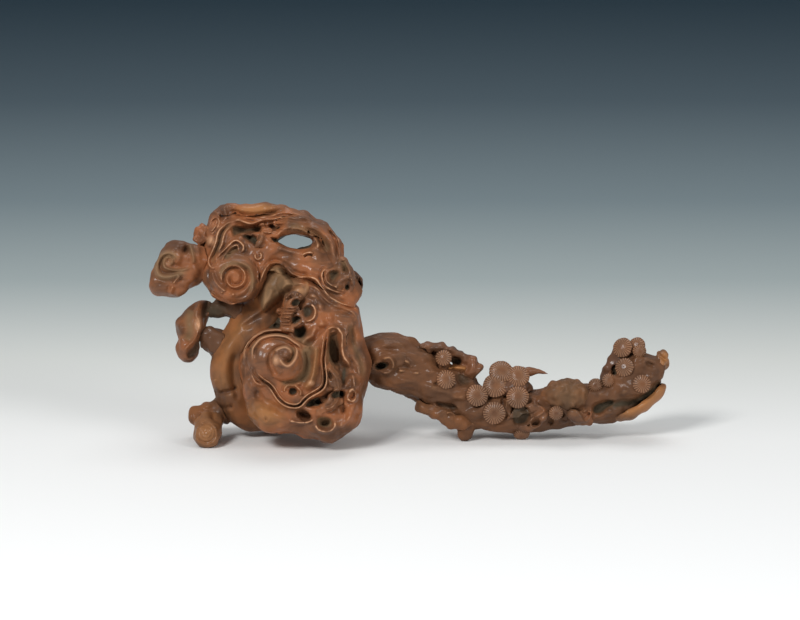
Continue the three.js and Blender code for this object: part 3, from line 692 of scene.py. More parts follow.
def bump(centre, across, down, height):
    """A round swell, or a pit where its height is below nought."""

    def cut(spots):
        reach = ((spots - np.array(centre)) / np.array([across, down])) ** 2
        return height * np.clip(1 - reach.sum(axis=1), 0, 1) ** 2

    return cut


def stripe(points, amount, width):
    """Paint along a line, in shares and pixels wide."""
    return ridge(points, amount, width, moat=0)


def patch(points, amount, edge):
    """Paint inside a closed outline, full from `edge` pixels inside."""
    return hollow(points, -amount, edge)


FACING_RANGE = (0.02, 0.4)


def carve(piece, cuts, turned_away=False):
    """Cuts made square to the picture, in the skin that faces it or, if turned away, in the other side."""
    points, facing = points_of(piece)
    towards = -TOWARDS_EYE if turned_away else TOWARDS_EYE
    spots = on_picture(points)
    lift = sum(cut(spots) for cut in cuts) * smooth_step(*FACING_RANGE, facing @ towards)
    move_to(piece, points + towards * lift[:, None])


OPENING_FADE = (0.9, 1.6)


def open_up(piece, centre, across, down, share):
    """An opening made longer: the skin round it, drawn away from its middle to the left and right."""
    points, _ = points_of(piece)
    offset = on_picture(points) - np.array(centre)
    near = 1 - smooth_step(*OPENING_FADE, np.hypot(offset[:, 0] / across, offset[:, 1] / down))
    points[:, 0] += share * near * offset[:, 0] / 2
    move_to(piece, points)


STRAND_END = 0.6


def strand(spots, radius, lift=0.0, aside=0.0):
    """A round strand of wood along a line of the picture, laid on the fused skin, or lifted from it
    and moved aside by so many millimetres."""
    pixel = SENSOR_MM / LENS_MM / PICTURE_WIDTH
    places = []
    for across, down in smooth_line(spots)[::2]:
        ray = (PICTURE_HEIGHT / 2 - down) * pixel * UP_THE_FACE - TOWARDS_EYE
        ray[0] += (across - PICTURE_WIDTH / 2) * pixel
        hit = skin.ray_cast(EYE, ray)[0]
        if hit:
            places.append(np.array(hit) + lift / 1000 * TOWARDS_EYE + np.array([aside / 1000, 0, 0]))
    places = np.array(places)
    for _ in range(3):
        places[1:-1] = (places[:-2] + 2 * places[1:-1] + places[2:]) / 4
    route = bpy.data.curves.new("strand", "CURVE")
    route.dimensions = "3D"
    route.bevel_depth = radius / 1000
    route.bevel_resolution = 2
    route.use_fill_caps = True
    spline = route.splines.new("POLY")
    spline.points.add(len(places) - 1)
    for point, place in zip(spline.points, places):
        point.co = (*place, 1)
    spline.points[0].radius = STRAND_END
    spline.points[-1].radius = STRAND_END
    holder = bpy.data.objects.new("strand", route)
    bpy.context.scene.collection.objects.link(holder)
    graph = bpy.context.evaluated_depsgraph_get()
    mesh = bpy.data.meshes.new_from_object(holder.evaluated_get(graph))
    bpy.data.objects.remove(holder)
    bpy.data.curves.remove(route)
    return mesh


SHOWN_RANGE = (-0.3, 0.2)
# Cuts deeper than the first depth, in millimetres, are painted with shade, full at the second.
PALE_DEPTH = 2.2
DARK_DEPTH = 6.5
GOUGED_ROUNDS = 2
FINISHED_ROUNDS = 1


def make(
    node,
    slot,
    wood,
    voxel,
    rounds,
    deep=(),
    fine=(),
    back=(),
    knots=None,
    rough=None,
    worn=(),
    dust=(),
    glint=(),
    dark=(),
    painted_shade=(),
    strands=(),
    opening=None,
    tone_and_shade=0.0,
    out=0.25,
):
    """One carved piece, from its blank to its seat: gouge work first, then the fine cuts.
    Knots and roughness are swells, each by its length, height and seed. Worn and dust are paint for wear and
    dirt, glint is a painted highlight, and dark is painted shade in the hollow colour, as are the deep cuts.
    The shade patches are painted shade towards the dark wood, and the tone darkens the whole piece the same
    way, as its own tone or, on the stalks, as painted shade."""
    piece = rough_out(node, voxel, rounds, strands)
    if not node.startswith(THIN_FORMS):
        lay_on_skin(piece)
    swell(piece, out)
    if opening:
        open_up(piece, *opening)
    if knots:
        gnarl(piece, *knots)
    if deep:
        carve(piece, deep)
        even_out(piece, voxel, GOUGED_ROUNDS)
    refine(piece)
    if rough:
        gnarl(piece, *rough)
    carve(piece, fine)
    carve(piece, back, turned_away=True)
    points, facing = points_of(piece)
    move_to(piece, rubbed(points, edges_of(piece), FINISHED_ROUNDS))
    spots = on_picture(points)
    shown = smooth_step(*SHOWN_RANGE, facing @ TOWARDS_EYE)
    for name, paints in (("dust", dust), ("worn", worn), ("glint", glint)):
        mark(piece, name, np.clip(sum(paint(spots) for paint in paints) * shown, 0, 1))
    # Deep cuts are painted with shade in the hollow colour, and dark paint adds painted shade of its own.
    gouged = -sum(cut(spots) for cut in deep)
    depth = smooth_step(PALE_DEPTH, DARK_DEPTH, gouged) + sum(paint(spots) for paint in dark)
    mark(piece, "depth", np.clip(depth * shown, 0, 1))
    # The tone darkens the whole piece, and the shade patches add painted shade.
    darkening = tone_and_shade + sum(paint(spots) for paint in painted_shade) * shown
    mark(piece, "tone_and_shade", np.clip(darkening, 0, 1) * np.ones(len(points)))
    seat(piece, node, slot, wood)


TRUNK_SPINE = [(247, 322), (238, 333), (230, 346), (226, 360), (224, 375), (226, 392)]
TRUNK_FOLD = [(236, 327), (250, 318), (262, 309), (270, 297), (273, 286)]
TRUNK_CREASE = [(211, 390), (219, 393), (230, 391), (238, 386)]
ANKLE_CREASE = [(213, 404), (222, 408), (234, 406)]
TRUNK_GROOVE = [(236, 352), (233, 366), (234, 384), (238, 402)]
TRUNK_KNEE = [(214, 378), (216, 386), (222, 392)]
THROAT_RECESS = [
    (258, 304), (259, 288), (261, 276), (266, 267), (278, 264), (287, 270), (294, 279), (296, 286),
    (289, 292), (283, 299), (275, 306), (264, 313),
]
THROAT_PIT = (274, 273)
THROAT_STRETCH = ((280, 285), 18, 26, 0.4)
# Painted shadow over the stalks and at the foot of the trunk, where they lie in shade.
STALK_SHADE = (214, 312)
STALK_SHADOW = 0.85
TRUNK_SHADE = (228, 398)
STEM_BACK = [
    [(262, 290), (250, 312), (240, 332), (232, 356), (231, 380)],
    [(276, 296), (262, 320), (252, 344), (247, 370), (250, 394)],
    [(262, 408), (290, 398), (318, 380), (342, 364)],
    [(270, 420), (300, 412), (328, 396), (350, 378)],
]
THROAT_ROOF = [(262, 270), (267, 264), (274, 261), (282, 263), (289, 269)]
THROAT_LEFT = [(273, 276), (271.5, 284), (269.5, 292), (267, 300)]
THROAT_SIDE = [(276, 276), (284, 284), (292, 290), (300, 296)]
make(
    "hook_stem",
    "stem_wood",
    stem_wood,
    voxel=0.9,
    rounds=18,
    fine=[
        ridge(TRUNK_SPINE, 1.6, 6, 7, moat=0.1),
        ridge(TRUNK_FOLD, 1.6, 5, 2.5, moat=0.2),
        ridge(TRUNK_KNEE, 1.2, 3, 3),
        ridge(TRUNK_CREASE, -1.6, 2.4),
        ridge(ANKLE_CREASE, -1.6, 2.4),
        ridge(TRUNK_GROOVE, -1.4, 3),
        hollow(THROAT_RECESS, -7, 8),
        bump(THROAT_PIT, 5, 4, -1.6),
    ],
    knots=(13, 0.7, 11, (1, 1, 0.45)),
    opening=THROAT_STRETCH,
    worn=[stripe(TRUNK_SPINE, 0.35, 9)],
    dust=[patch(THROAT_RECESS, 0.75, 5)],
    # Painted shade by the stalks and at the foot of the trunk.
    painted_shade=[bump(STALK_SHADE, 24, 18, 1.0), bump(TRUNK_SHADE, 26, 22, 0.7)],
    back=[ridge(line, 1.1, 5, moat=0.5) for line in STEM_BACK],
    strands=[strand(THROAT_ROOF, 4, -8), strand(THROAT_SIDE, 5, -5), strand(THROAT_LEFT, 4.5, -4, -3)],
    out=0.5,
)
# The stalks are painted dark as shadow: a patch in the hollow colour, and their whole tone.
for stalk, seed in (("upper_stalk", 12), ("small_stalk", 13)):
    make(
        stalk,
        "stem_wood",
        stem_wood,
        voxel=0.5,
        rounds=8,
        knots=(7, 0.4, seed),
        dark=[bump(STALK_SHADE, 24, 18, 0.9)],
        tone_and_shade=STALK_SHADOW,
    )

# The feet: two sawn stubs and a low heel under the stem, which the scepter stands on with its knot.
# They are plain limbs with lumpy bark. The stubs are pegged on, the lower one with its sawn end in
# view, and the heel is glued.
end_wood = carved_wood(
    "end_wood",
    wood=colour(150, 102, 66),
    dark=colour(104, 72, 49),
    warm=colour(160, 106, 64),
    pale_rub_and_highlight=colour(192, 140, 94),
    stretch=(1, 1, 1),
)
STUB_LUMP = (199, 411)
STUB_BROW = (206, 405)
STUB_END = (190, 418)
SAWN_END = (206, 433)
SAWN_RADIUS = 11
SAWN_HEIGHT_SHARE = 1.1
SAWN_CORNERS = 12
RINGS_FADE = 2
SAWN_RIM = [
    (
        SAWN_END[0] + SAWN_RADIUS * math.cos(turn),
        SAWN_END[1] + SAWN_HEIGHT_SHARE * SAWN_RADIUS * math.sin(turn),
    )
    for turn in np.linspace(0, 2 * math.pi, SAWN_CORNERS, endpoint=False)
]


def year_rings(centre, radius, spacing, height):
    """Fine rings round a sawn end."""

    def cut(spots):
        reach = np.linalg.norm(spots - np.array(centre), axis=1)
        return height * np.sin(2 * math.pi * reach / spacing) * smooth_step(radius, radius - RINGS_FADE, reach)

    return cut


foot_fine = [
    bump(STUB_LUMP, 7, 6, 1.6),
    bump(STUB_BROW, 7, 6, 1.2),
    bump(STUB_END, 5, 7, 1.4),
    hollow(SAWN_RIM, 1.2, 2.5),
    year_rings(SAWN_END, SAWN_RADIUS, 3.4, 0.16),
]
for foot, slot, wood in (
    ("foot_upper", "stem_wood", stem_wood),
    ("foot_lower", "end_wood", end_wood),
    ("heel_knot", "stem_wood", stem_wood),
):
    make(
        foot,
        slot,
        wood,
        voxel=0.6,
        rounds=8,
        fine=foot_fine,
        knots=(8, 0.5, 21),
        worn=[bump(SAWN_END, 15, 16, 0.4)],
        tone_and_shade=0.25,
    )

# The handle: one pine branch from the fork to the upturned tip, with a knot hole near the head.
# It is rounded along its length, and the leaves, twigs and needle fans stand on it.
KNOT_HOLE = [(374, 366), (378, 362), (384, 361), (389, 364), (388, 368), (382, 370.5), (376, 370)]
KNOT_RING = [(380, 359), (388, 357.5), (392, 360), (393.5, 365), (392, 370), (387, 373), (379, 374)]
SHOULDER_SINEW = [(376, 343), (390, 340), (402, 345), (414, 354), (428, 366), (438, 372)]
LOWER_SINEW = [(396, 382), (412, 380), (428, 386), (444, 392), (460, 396)]
SHORT_SINEW = [(398, 370), (404, 370), (412, 372), (420, 373)]
BROW_SINEW = [(404, 360), (409, 363), (412, 368)]
UNDER_HOLLOW = [
    (433, 402), (440, 400.5), (450, 402), (457, 405), (459, 409), (455, 411.5), (447, 411), (439, 408),
]
LEAF_HOLLOW = [
    (511, 407), (518, 405), (527, 406), (531, 411), (530, 418), (526, 424), (517, 425.5), (511.5, 421),
]
NECK_HOLLOW = [(456, 374), (463, 372), (470, 377), (471, 384), (464, 387), (457, 383)]
LOW_PIT = [(547, 419), (551, 416.5), (554, 420), (553, 425), (548, 425.5)]
CURL_PIT = [(531, 421), (537, 418.5), (541, 421), (539, 426.5), (532, 427)]
BURL_PIT = [(558, 414), (562, 411), (566, 413), (564, 418), (559, 418)]
DARK_SIDE = [(591, 408), (595, 403), (603, 400), (612, 398), (615, 403), (608, 410), (601, 415), (593, 415)]
TIP_HOLE = [(611, 370), (613, 365), (617, 365), (619, 370), (617, 376), (612, 376)]
TIP_GROOVE = [(606, 408), (620, 404), (630, 403), (640, 400), (650, 393), (657, 388), (663, 381)]
TIP_HOLLOW = [(644, 361), (650, 360), (655, 364), (654, 367.5), (647, 366.5)]
handle_cuts = [
    hollow(KNOT_HOLE, 9, 2.5),
    hollow(UNDER_HOLLOW, 4, 3),
    hollow(LEAF_HOLLOW, 4, 3),
    hollow(NECK_HOLLOW, 3, 4),
    hollow(LOW_PIT, 3, 2),
    hollow(CURL_PIT, 3, 2),
    hollow(BURL_PIT, 3, 2),
    hollow(DARK_SIDE, 5, 4),
    hollow(TIP_HOLE, 6, 2.5),
    hollow(TIP_HOLLOW, 3, 2.5),
    ridge(TIP_GROOVE, -4, 4.2),
]
HANDLE_AGE = 0.66
# Painted shade in the branch's hollows and along the groove under the tip.
handle_hollow_shade = [
    patch(LEAF_HOLLOW, 0.4, 3),
    patch(DARK_SIDE, 0.5, 4),
    patch(NECK_HOLLOW, 0.4, 4),
    stripe(TIP_GROOVE, 0.8, 4),
]
BRANCH_LUMPS = [
    ((407, 363), 5, 5, 1.0),
    ((417, 373), 7, 3, 0.9),
    ((401, 371), 5, 2.5, 0.8),
    ((423, 360), 6, 6, 0.9),
    ((430, 352), 6, 6, 0.8),
    ((410, 384), 10, 7, 0.9),
    ((386, 345), 12, 6, 1.1),
    ((400, 345), 10, 7, 1.2),
    ((436, 384), 4, 3, -1.6),
    ((452, 380), 8, 7, -1.8),
    ((461, 385), 7, 6, -1.5),
    ((459, 398), 9, 6, 1.2),
    ((473, 415), 12, 8, 1.4),
    ((486, 424), 10, 6, 1.2),
    ((498, 427), 8, 5, 1.1),
    ((602, 394), 8, 7, 1.5),
    ((625, 392), 12, 5, 1.2),
    ((652, 374), 8, 8, 1.3),
    ((600, 418), 8, 5, 1.2),
]
MIDDLE_GAPS = [
    ((506, 393), 4, 8, -3),
    ((489, 399), 6, 4, -2.5),
    ((503, 403), 4, 7, -2.5),
    ((478, 405), 6, 4, -1.8),
]
make(
    "handle_branch",
    "stem_wood",
    stem_wood,
    voxel=0.75,
    rounds=16,
    deep=handle_cuts,
    fine=[
        ridge(KNOT_RING, 1.4, 2),
        ridge(SHOULDER_SINEW, 1.1, 4, 6),
        ridge(LOWER_SINEW, 1.0, 4, 6),
        ridge(SHORT_SINEW, 0.6, 1.8, 2.6),
        ridge(BROW_SINEW, 0.9, 2),
    ]
    + [bump(*lump) for lump in BRANCH_LUMPS + MIDDLE_GAPS],
    knots=(11, 0.8, 31, (0.5, 1, 1)),
    rough=(4, 0.22, 33, (0.5, 1, 1)),
    dark=handle_hollow_shade,
    tone_and_shade=HANDLE_AGE,
)
make("snag_knot", "stem_wood", stem_wood, voxel=0.6, rounds=8, knots=(7, 0.4, 32), tone_and_shade=HANDLE_AGE)

# The upper cap: a lingzhi cap with a pierced window, folded along its crest and curled at its left.
# It is waxed red-brown wood, seated on the top of the stem by a tenon.
cap_wood = carved_wood(
    "cap_wood",
    wood=colour(146, 94, 60),
    dark=colour(90, 61, 44),
    warm=colour(153, 92, 55),
    pale_rub_and_highlight=colour(208, 158, 120),
    stretch=(0.4, 1, 1),
)
CREST_GROOVE = [
    (228, 212), (235, 211), (240, 213.5), (248, 216), (256, 216), (264, 214.5), (272, 212.5),
    (286, 210.5),
]
SECOND_FOLD = [
    (236, 219), (242, 217), (252, 218), (262, 217), (272, 215.5), (280, 213), (288, 212.5), (296, 214),
    (304, 217), (314, 221),
]
SECOND_GROOVE = [(240, 219), (252, 220.5), (262, 219), (274, 217), (282, 215), (290, 215.5), (300, 218)]
THIRD_FOLD = [
    (231, 221), (237, 220), (242, 221), (248, 223), (253, 223.5), (259, 221), (266, 219.5), (275, 219),
    (283, 217), (292, 217.5), (308, 221),
]
UNDERCUT = [
    (236, 223), (242, 225), (247, 227), (252, 226), (258, 223.5), (265, 222), (274, 221.5), (281, 220.5),
    (290, 221), (304, 223.5), (318, 223.5),
]
TWIG_HOLLOW = [
    (231, 225), (238, 224), (247, 227.5), (258, 225), (262, 229), (258, 233), (248, 233.5), (240, 236),
    (233, 238), (230, 232),
]
CREST_RECESS = [
    (231, 227), (238, 224.5), (247, 227), (256, 225), (262, 228), (263, 235), (267, 243), (263, 248.5),
    (255, 246), (248, 239), (240, 236.5), (233, 238),
]
LOW_HOLLOW = [
    (242, 234), (250, 234), (258, 237), (263, 241), (263, 248), (257, 247.5), (249, 243), (242, 238),
]
HIGH_HOLLOW = [(268, 224), (275, 222.5), (284, 223), (283, 227), (277, 230), (270, 229.5)]
STRUT_HOLLOW = [(269, 238), (273, 236.5), (278, 238), (278, 243), (273, 244), (270, 242)]
ARCH_BACK = [
    (282, 224), (288, 222), (297, 224.5), (306, 227), (315, 229), (323, 233), (329, 239), (332, 246),
    (334, 254), (337, 262),
]
WINDOW_BROW = [
    (277, 237), (280, 232), (285, 229.5), (291, 228), (300, 229), (308, 233), (315, 239), (318, 245),
    (316, 250),
]
ARCH_GROOVE = [(286, 226.5), (296, 227), (306, 230), (315, 233.5), (322, 239), (326, 246), (328, 254)]
WINDOW_SILL = [(277, 247), (285, 249.5), (295, 252.5), (306, 253.5), (314, 250.5)]
EDGE_FOLD = [(330, 226), (335, 233), (338.5, 240), (339.5, 248), (340, 257)]
EDGE_GROOVE = [(327, 229), (332, 236), (335.5, 243), (336.5, 251), (338, 260)]
SLIT_LID = [(302, 256), (305, 253.5), (309, 252.3), (314, 253.5)]
SLIT = [(303.5, 256.5), (308, 254.6), (313, 255)]
TINY_CURL = [(255, 253), (255.5, 257.5), (258, 259.5), (261, 257.5), (261, 254), (258.5, 253)]
LEFT_RING = [(210, 228), (212, 222), (215.5, 219), (218, 221), (216.5, 226.5), (213, 231.5), (209.5, 232)]
HAIRPIN_OUTER = [
    (235, 221), (229, 222), (224, 226), (219, 231), (217, 237), (216, 242), (213.5, 248.5), (211, 254),
    (208.7, 260), (209.5, 265), (213, 268), (216.5, 265.5),
]
HAIRPIN_INNER = [(231, 226), (226, 231), (223.5, 237), (222, 244), (219, 251), (216.5, 258), (216.5, 265.5)]
LEAF_LOOP = [
    (218.5, 261), (220, 254.5), (225, 249.5), (229.5, 245), (233, 241.5), (237, 240.5), (241, 243),
    (243.3, 246), (243, 250), (239.5, 253.5),
]
LEAF_LOOP_INNER = [(221, 262), (224, 256), (228, 251), (232, 247), (236.5, 245), (240, 247)]
LEAF_VALLEY = [(224, 259), (229, 253.5), (234, 249.5), (238, 248.5)]
LEFT_KNUCKLE = (210.5, 241)
COIL = [
    (232.4, 272.5), (231, 276), (230, 280), (232, 284), (236, 284.5), (240.5, 281.5), (242, 275),
    (238.5, 269.5), (232.5, 268), (226.5, 270.5), (223.5, 276), (224.5, 282.5), (228, 287), (233, 289.5),
    (240, 288.5), (246, 284), (248, 276), (245, 268.5), (239, 264.5), (231.5, 263.8), (225, 266),
    (220.8, 272), (220.3, 279),
]
COIL_WALL = [
    (221, 268.5), (226, 265.3), (232.4, 263.6), (240, 263.8), (247, 265.7), (251.6, 269.6), (254, 276.5),
    (254, 284), (252, 291.8), (247.8, 297), (241.6, 300), (236, 300),
]
SCROLL_LIP = [
    (205, 287), (208.7, 291.8), (214, 296.4), (218.6, 301), (224, 304), (229.4, 305), (237, 304.4),
    (244.7, 302.5), (252.4, 300), (257, 295.6), (259.2, 288.3),
]
SCROLL_FOLD = [(212.5, 270), (213, 276), (215, 281), (218, 285), (222, 289), (227, 292)]
COIL_BEAD = (233, 294.5)
SMALL_BEAD = (221.7, 292.6)
LOWER_LIP = [
    (256.7, 295), (259.2, 288.3), (260.8, 280.8), (263.3, 274), (265.4, 270), (269.2, 265), (275, 262.9),
    (280, 263.8), (284.2, 266.3), (287.5, 269.6), (291.7, 273.3), (296.7, 275.8), (301.7, 277),
    (308.3, 277.3), (313.3, 278.2), (316.7, 280), (319.6, 283.8), (321.7, 287), (325, 291.7),
    (329.2, 296.7), (335, 300.4), (341.7, 303.8), (348.3, 305.8), (354, 308.8),
]
CURL_OUTER = [
    (328, 268), (323.5, 270.8), (322, 275.8), (323.3, 282.5), (325.8, 286.7), (330, 289.2),
    (335.8, 291.7), (343, 293.5),
]
CURL_INNER = [(327.3, 271.3), (325.6, 275.8), (326.4, 280.8), (329.2, 283.8), (334.2, 286.7), (339, 288)]
CURL_HOLLOW = [(327.5, 272), (332, 269.5), (338, 270), (340, 274), (337, 279), (333, 283), (329, 281.5)]
UNDER_LEAF = [
    (328, 288.5), (334, 291.5), (341, 292.5), (346, 291.5), (347, 294), (340, 296), (333, 295),
    (328.5, 291.5),
]
LEAF_EYE = [(344, 288), (345.2, 284.5), (348, 283.5), (350, 286.5), (349.5, 290), (346.5, 291.5)]
CROWN_WORN = (256, 209)
LOBE_VALLEY = [(258, 262), (256, 270), (257, 280), (256, 290)]
FIELD_VALLEY = [(252, 262), (262, 262), (272, 258), (286, 256), (300, 257)]
LEFT_FOLDS = [
    [(222, 206), (225, 211), (226, 217), (222, 223), (216, 230)],
    [(213, 210), (217, 213), (219, 218), (217, 224)],
    [(203, 226), (205, 232), (203, 238), (199, 244)],
]
WORN_FOLD = [(233, 208), (245, 209.5), (256, 209.5), (266, 207.5), (276, 208)]
THROAT_MOUTH = (271, 279)
WINDOW_MOUTH = [
    (275, 242), (278, 236.5), (284, 233.5), (292, 233), (301, 234), (308, 237.5), (313, 243.5),
    (312, 248.5), (304, 251), (294, 250.5), (284, 248),
]
upper_deep = [
    hollow(WINDOW_MOUTH, 6, 3),
    hollow(CREST_RECESS, 1.5, 3),
    hollow(TWIG_HOLLOW, 3.5, 4),
    hollow(LOW_HOLLOW, 5.5, 3),
    hollow(HIGH_HOLLOW, 4, 3),
    hollow(STRUT_HOLLOW, 5.5, 2.5),
    hollow(CURL_HOLLOW, 5, 4),
    hollow(UNDER_LEAF, 4.5, 2),
    hollow(LEAF_EYE, 7, 2.2),
    ridge(UNDERCUT, -2.2, 3.2, 2.6),
    ridge(CREST_GROOVE, -1.8, 1.8, 2.6),
    ridge(ARCH_GROOVE, -2.6, 2.8),
    ridge(LOBE_VALLEY, -2, 3.5),
    bump(THROAT_MOUTH, 7, 9, -1.5),
]
upper_fine = [
    ridge(WORN_FOLD, 0.7, 4, 3.5, moat=0.1),
    ridge(CREST_GROOVE, -0.8, 1.2, 1.6),
    ridge(SECOND_FOLD, 1.6, 1.8, 2),
    ridge(SECOND_GROOVE, -1.1, 1.3),
    ridge(THIRD_FOLD, 2, 2.2, 1.6),
    ridge(ARCH_BACK, 2, 4, 4, moat=0.2),
    ridge(WINDOW_BROW, 1.5, 2, 2),
    ridge(WINDOW_SILL, 1.4, 2, 3),
    ridge(EDGE_FOLD, 1.9, 1.5),
    ridge(EDGE_GROOVE, -1.8, 1.5),
    ridge(FIELD_VALLEY, -0.8, 4),
    ridge(SLIT_LID, 0.8, 1.1),
    ridge(SLIT, -1.8, 1.1),
    ridge(TINY_CURL, 1.2, 1.1),
    double_rim(LEFT_RING, 1.1, 1, 2.2),
    ridge(HAIRPIN_OUTER, 1.8, 1.4),
    ridge(HAIRPIN_INNER, 1.3, 1.4),
    ridge(LEAF_LOOP, 1.8, 1.4),
    ridge(LEAF_LOOP_INNER, 1.0, 1.1),
    ridge(LEAF_VALLEY, -2, 2.4),
    bump(LEFT_KNUCKLE, 6, 7, 2.2),
    ridge(COIL_WALL, 1.6, 2.4, 1.8),
    ridge(SCROLL_LIP, 1.6, 1.4, 1.3),
    ridge(SCROLL_FOLD, 1.6, 1.8),
    bump(COIL_BEAD, 3.2, 3.2, 1.5),
    bump(SMALL_BEAD, 2, 2, 1.2),
    ridge(LOWER_LIP, 2, 1.6, 1.4),
    ridge(CURL_OUTER, 1.5, 1.3),
    ridge(CURL_INNER, 1.3, 1.1),
] + [ridge(fold, 1.2, 1.8) for fold in LEFT_FOLDS]
upper_worn = [bump(CROWN_WORN, 30, 8, 0.75)]
upper_glint = [bump(LEFT_KNUCKLE, 6, 7, 0.8)]
COIL_DUST = [
    (221, 280), (222, 270), (228, 264.5), (237, 263.5), (247, 267), (252, 276), (252, 286), (247, 295),
]
HAIRPIN_DUST = [(233, 223.5), (226, 228), (221, 235), (219.5, 243), (216, 250), (213, 258), (213, 264)]
CREST_SHADE = (224, 210)
GROWTH_BANDS = [
    [(216, 236), (226, 222), (248, 214), (276, 214), (302, 222), (322, 238), (330, 256)],
    [(224, 252), (232, 236), (250, 226), (274, 225), (298, 232), (314, 246)],
    [(250, 262), (258, 246), (272, 240)],
]
WINDOW_STRETCH = ((296, 242), 18, 9, 0.16)
EDGE_SHADE = (322, 222)
upper_dust = [
    stripe(ARCH_GROOVE, 0.6, 3.5),
    stripe(COIL_DUST, 0.8, 2.6),
    stripe(HAIRPIN_DUST, 0.6, 2.4),
    stripe(LEAF_VALLEY, 0.8, 2.6),
    patch(TWIG_HOLLOW, 0.7, 4),
]
# Painted shade at the left of the crest, at the right edge and along the scroll fold.
upper_painted_shade = [
    bump(CREST_SHADE, 16, 16, 0.9),
    bump(EDGE_SHADE, 22, 12, 0.7),
    stripe(SCROLL_FOLD, 0.6, 7),
]
make(
    "upper_cap",
    "cap_wood",
    cap_wood,
    voxel=0.7,
    rounds=16,
    deep=upper_deep,
    fine=upper_fine,
    knots=(14, 0.5, 41),
    back=[ridge(line, 0.9, 5, moat=0.5) for line in GROWTH_BANDS],
    opening=WINDOW_STRETCH,
    rough=(4.5, 0.1, 43),
    worn=upper_worn,
    glint=upper_glint,
    dust=upper_dust,
    painted_shade=upper_painted_shade,
)
KNOB_BRIDGE = [(202, 231), (207, 235), (212, 239)]
for form, bridges, swells in (
    ("upper_crest", [], (9, 0.35, 42)),
    ("arch_roll", [], (9, 0.35, 42)),
    ("crest_knob", [KNOB_BRIDGE], (5, 0.7, 44)),
):
    make(
        form,
        "cap_wood",
        cap_wood,
        voxel=0.5,
        rounds=6,
        deep=upper_deep,
        fine=upper_fine,
        knots=swells,
        opening=WINDOW_STRETCH,
        worn=upper_worn,
        glint=upper_glint,
        dust=upper_dust,
        painted_shade=upper_painted_shade,
        strands=[strand(bridge, 3, -2.5) for bridge in bridges],
    )
COIL_GROOVE_DEPTH = 2.6
make(
    "upper_scroll",
    "cap_wood",
    cap_wood,
    voxel=0.5,
    rounds=40,
    deep=[ridge(LOBE_VALLEY, -2, 3.5)],
    fine=upper_fine + [ridge(COIL, -COIL_GROOVE_DEPTH, 2.2)],
    worn=upper_worn,
    dust=upper_dust,
    painted_shade=upper_painted_shade,
)

# The twig beside the window: a thin openwork strut left standing in the hollow under the crest.
# It is cut free on both sides and stays joined at its ends.
twig_wood = carved_wood(
    "twig_wood",
    wood=colour(140, 95, 63),
    dark=colour(84, 58, 43),
    warm=colour(148, 92, 58),
    pale_rub_and_highlight=colour(206, 157, 119),
    stretch=(0.4, 1, 1),
)
TWIG_GLINT = [(263, 231.5), (268, 232.5), (273, 233.5)]
TWIG_STRUTS = [
    [(262, 223), (263, 229), (266, 236), (264, 243), (263, 249)],
    [(261, 231), (268, 232), (274, 233.5), (280, 234)],
    [(266, 240), (270, 243), (276, 246)],
    [(258, 237), (262, 239), (266, 240)],
]
make(
    "window_twig",
    "twig_wood",
    twig_wood,
    voxel=0.4,
    rounds=4,
    fine=[ridge(TWIG_GLINT, 1.2, 1.2)],
    knots=(4, 0.4, 51),
    strands=[strand(strut, 1.3, -1.5) for strut in TWIG_STRUTS],
)

# The lower cap: the largest fungus cap, cut deep at its right side and at its foot.
# It is seated on the front of the stem by a tenon, and carries the tongue and its boss.
TOP_LIP = [
    (290, 283), (296, 283), (302, 283.8), (308.3, 284.3), (313.3, 286), (319, 290), (322.5, 294.2),
    (326.7, 299.2), (331.7, 302.5), (338.3, 305), (346, 308.3), (352.5, 311.7), (356.7, 316.7),
    (358.3, 324), (359, 334),
]
SLOT = [
    (328, 334), (330, 330), (335, 329), (339, 332), (340, 342), (341, 352), (345, 360), (348, 368),
    (346, 378), (340, 376), (334, 368), (329, 364), (326, 352),
]
SLOT_DEEP = [
    (328, 336), (333, 331), (339, 333), (340.5, 343), (341, 354), (345, 362), (347, 372), (345, 384),
    (341, 388), (338, 380), (334, 368), (329, 362), (327, 350),
]
SLOT_BANK = [
    (335, 326), (340, 328.5), (342, 334), (342, 343), (342.5, 351), (344.5, 357.5), (348, 362),
    (352, 367),
]
SLOT_HOOD = [(327, 338), (327.5, 331), (330, 328), (334, 327), (338, 329), (340.5, 334)]
ROOT_PIT = [
    (330.5, 395), (333, 391.5), (339, 390), (344.5, 391.5), (344.5, 396.5), (339, 398.5), (333, 399),
]
CENTRE_PIT = [
    (305, 404.5), (309, 400), (314, 397), (319.5, 396), (321, 401), (320, 406.5), (312, 407.5),
    (305.5, 407.5),
]
LONG_PIT = [(290, 409), (298, 410), (306, 412), (313, 415.5), (312, 418.5), (305, 417.5), (297, 414)]
OVAL_PIT = [(316, 420.5), (319, 416.5), (326, 416), (331.5, 419), (332.5, 424.5), (327, 428), (319, 426.5)]
SIDE_PIT = [(340, 405), (345, 404), (347, 409), (344, 415), (340, 413)]
TWIG_GAP = [(267, 325), (271, 320), (277, 317), (280.5, 318), (280.5, 328), (274, 329.5), (268, 329)]
STEM_GAP = [(291, 317.5), (296, 315.5), (301, 316.5), (301.5, 321.5), (297, 325), (292, 325.5)]
DEEP_GAP = [
    (293, 328), (299, 326.5), (304, 324.5), (308, 329), (307, 336), (302, 340), (296, 339), (292, 334),
]
RING_PIT = [(302, 307), (307, 304.5), (312, 307), (313.5, 312), (311, 317.5), (304, 318.5), (301.5, 312)]
EYE_GAP = [
    (290.5, 303.5), (293, 299.5), (297, 298.5), (300.5, 300.5), (300.5, 304), (297, 306.5),
    (292.5, 306.5),
]
RING_RIM = [(310, 303.5), (314, 307), (315.3, 312), (313.8, 317.5), (309.5, 320.5), (304, 321)]
EYELET = [(288, 391), (290, 387.3), (294, 387), (297.5, 390), (297, 394), (293, 396), (289, 394.5)]
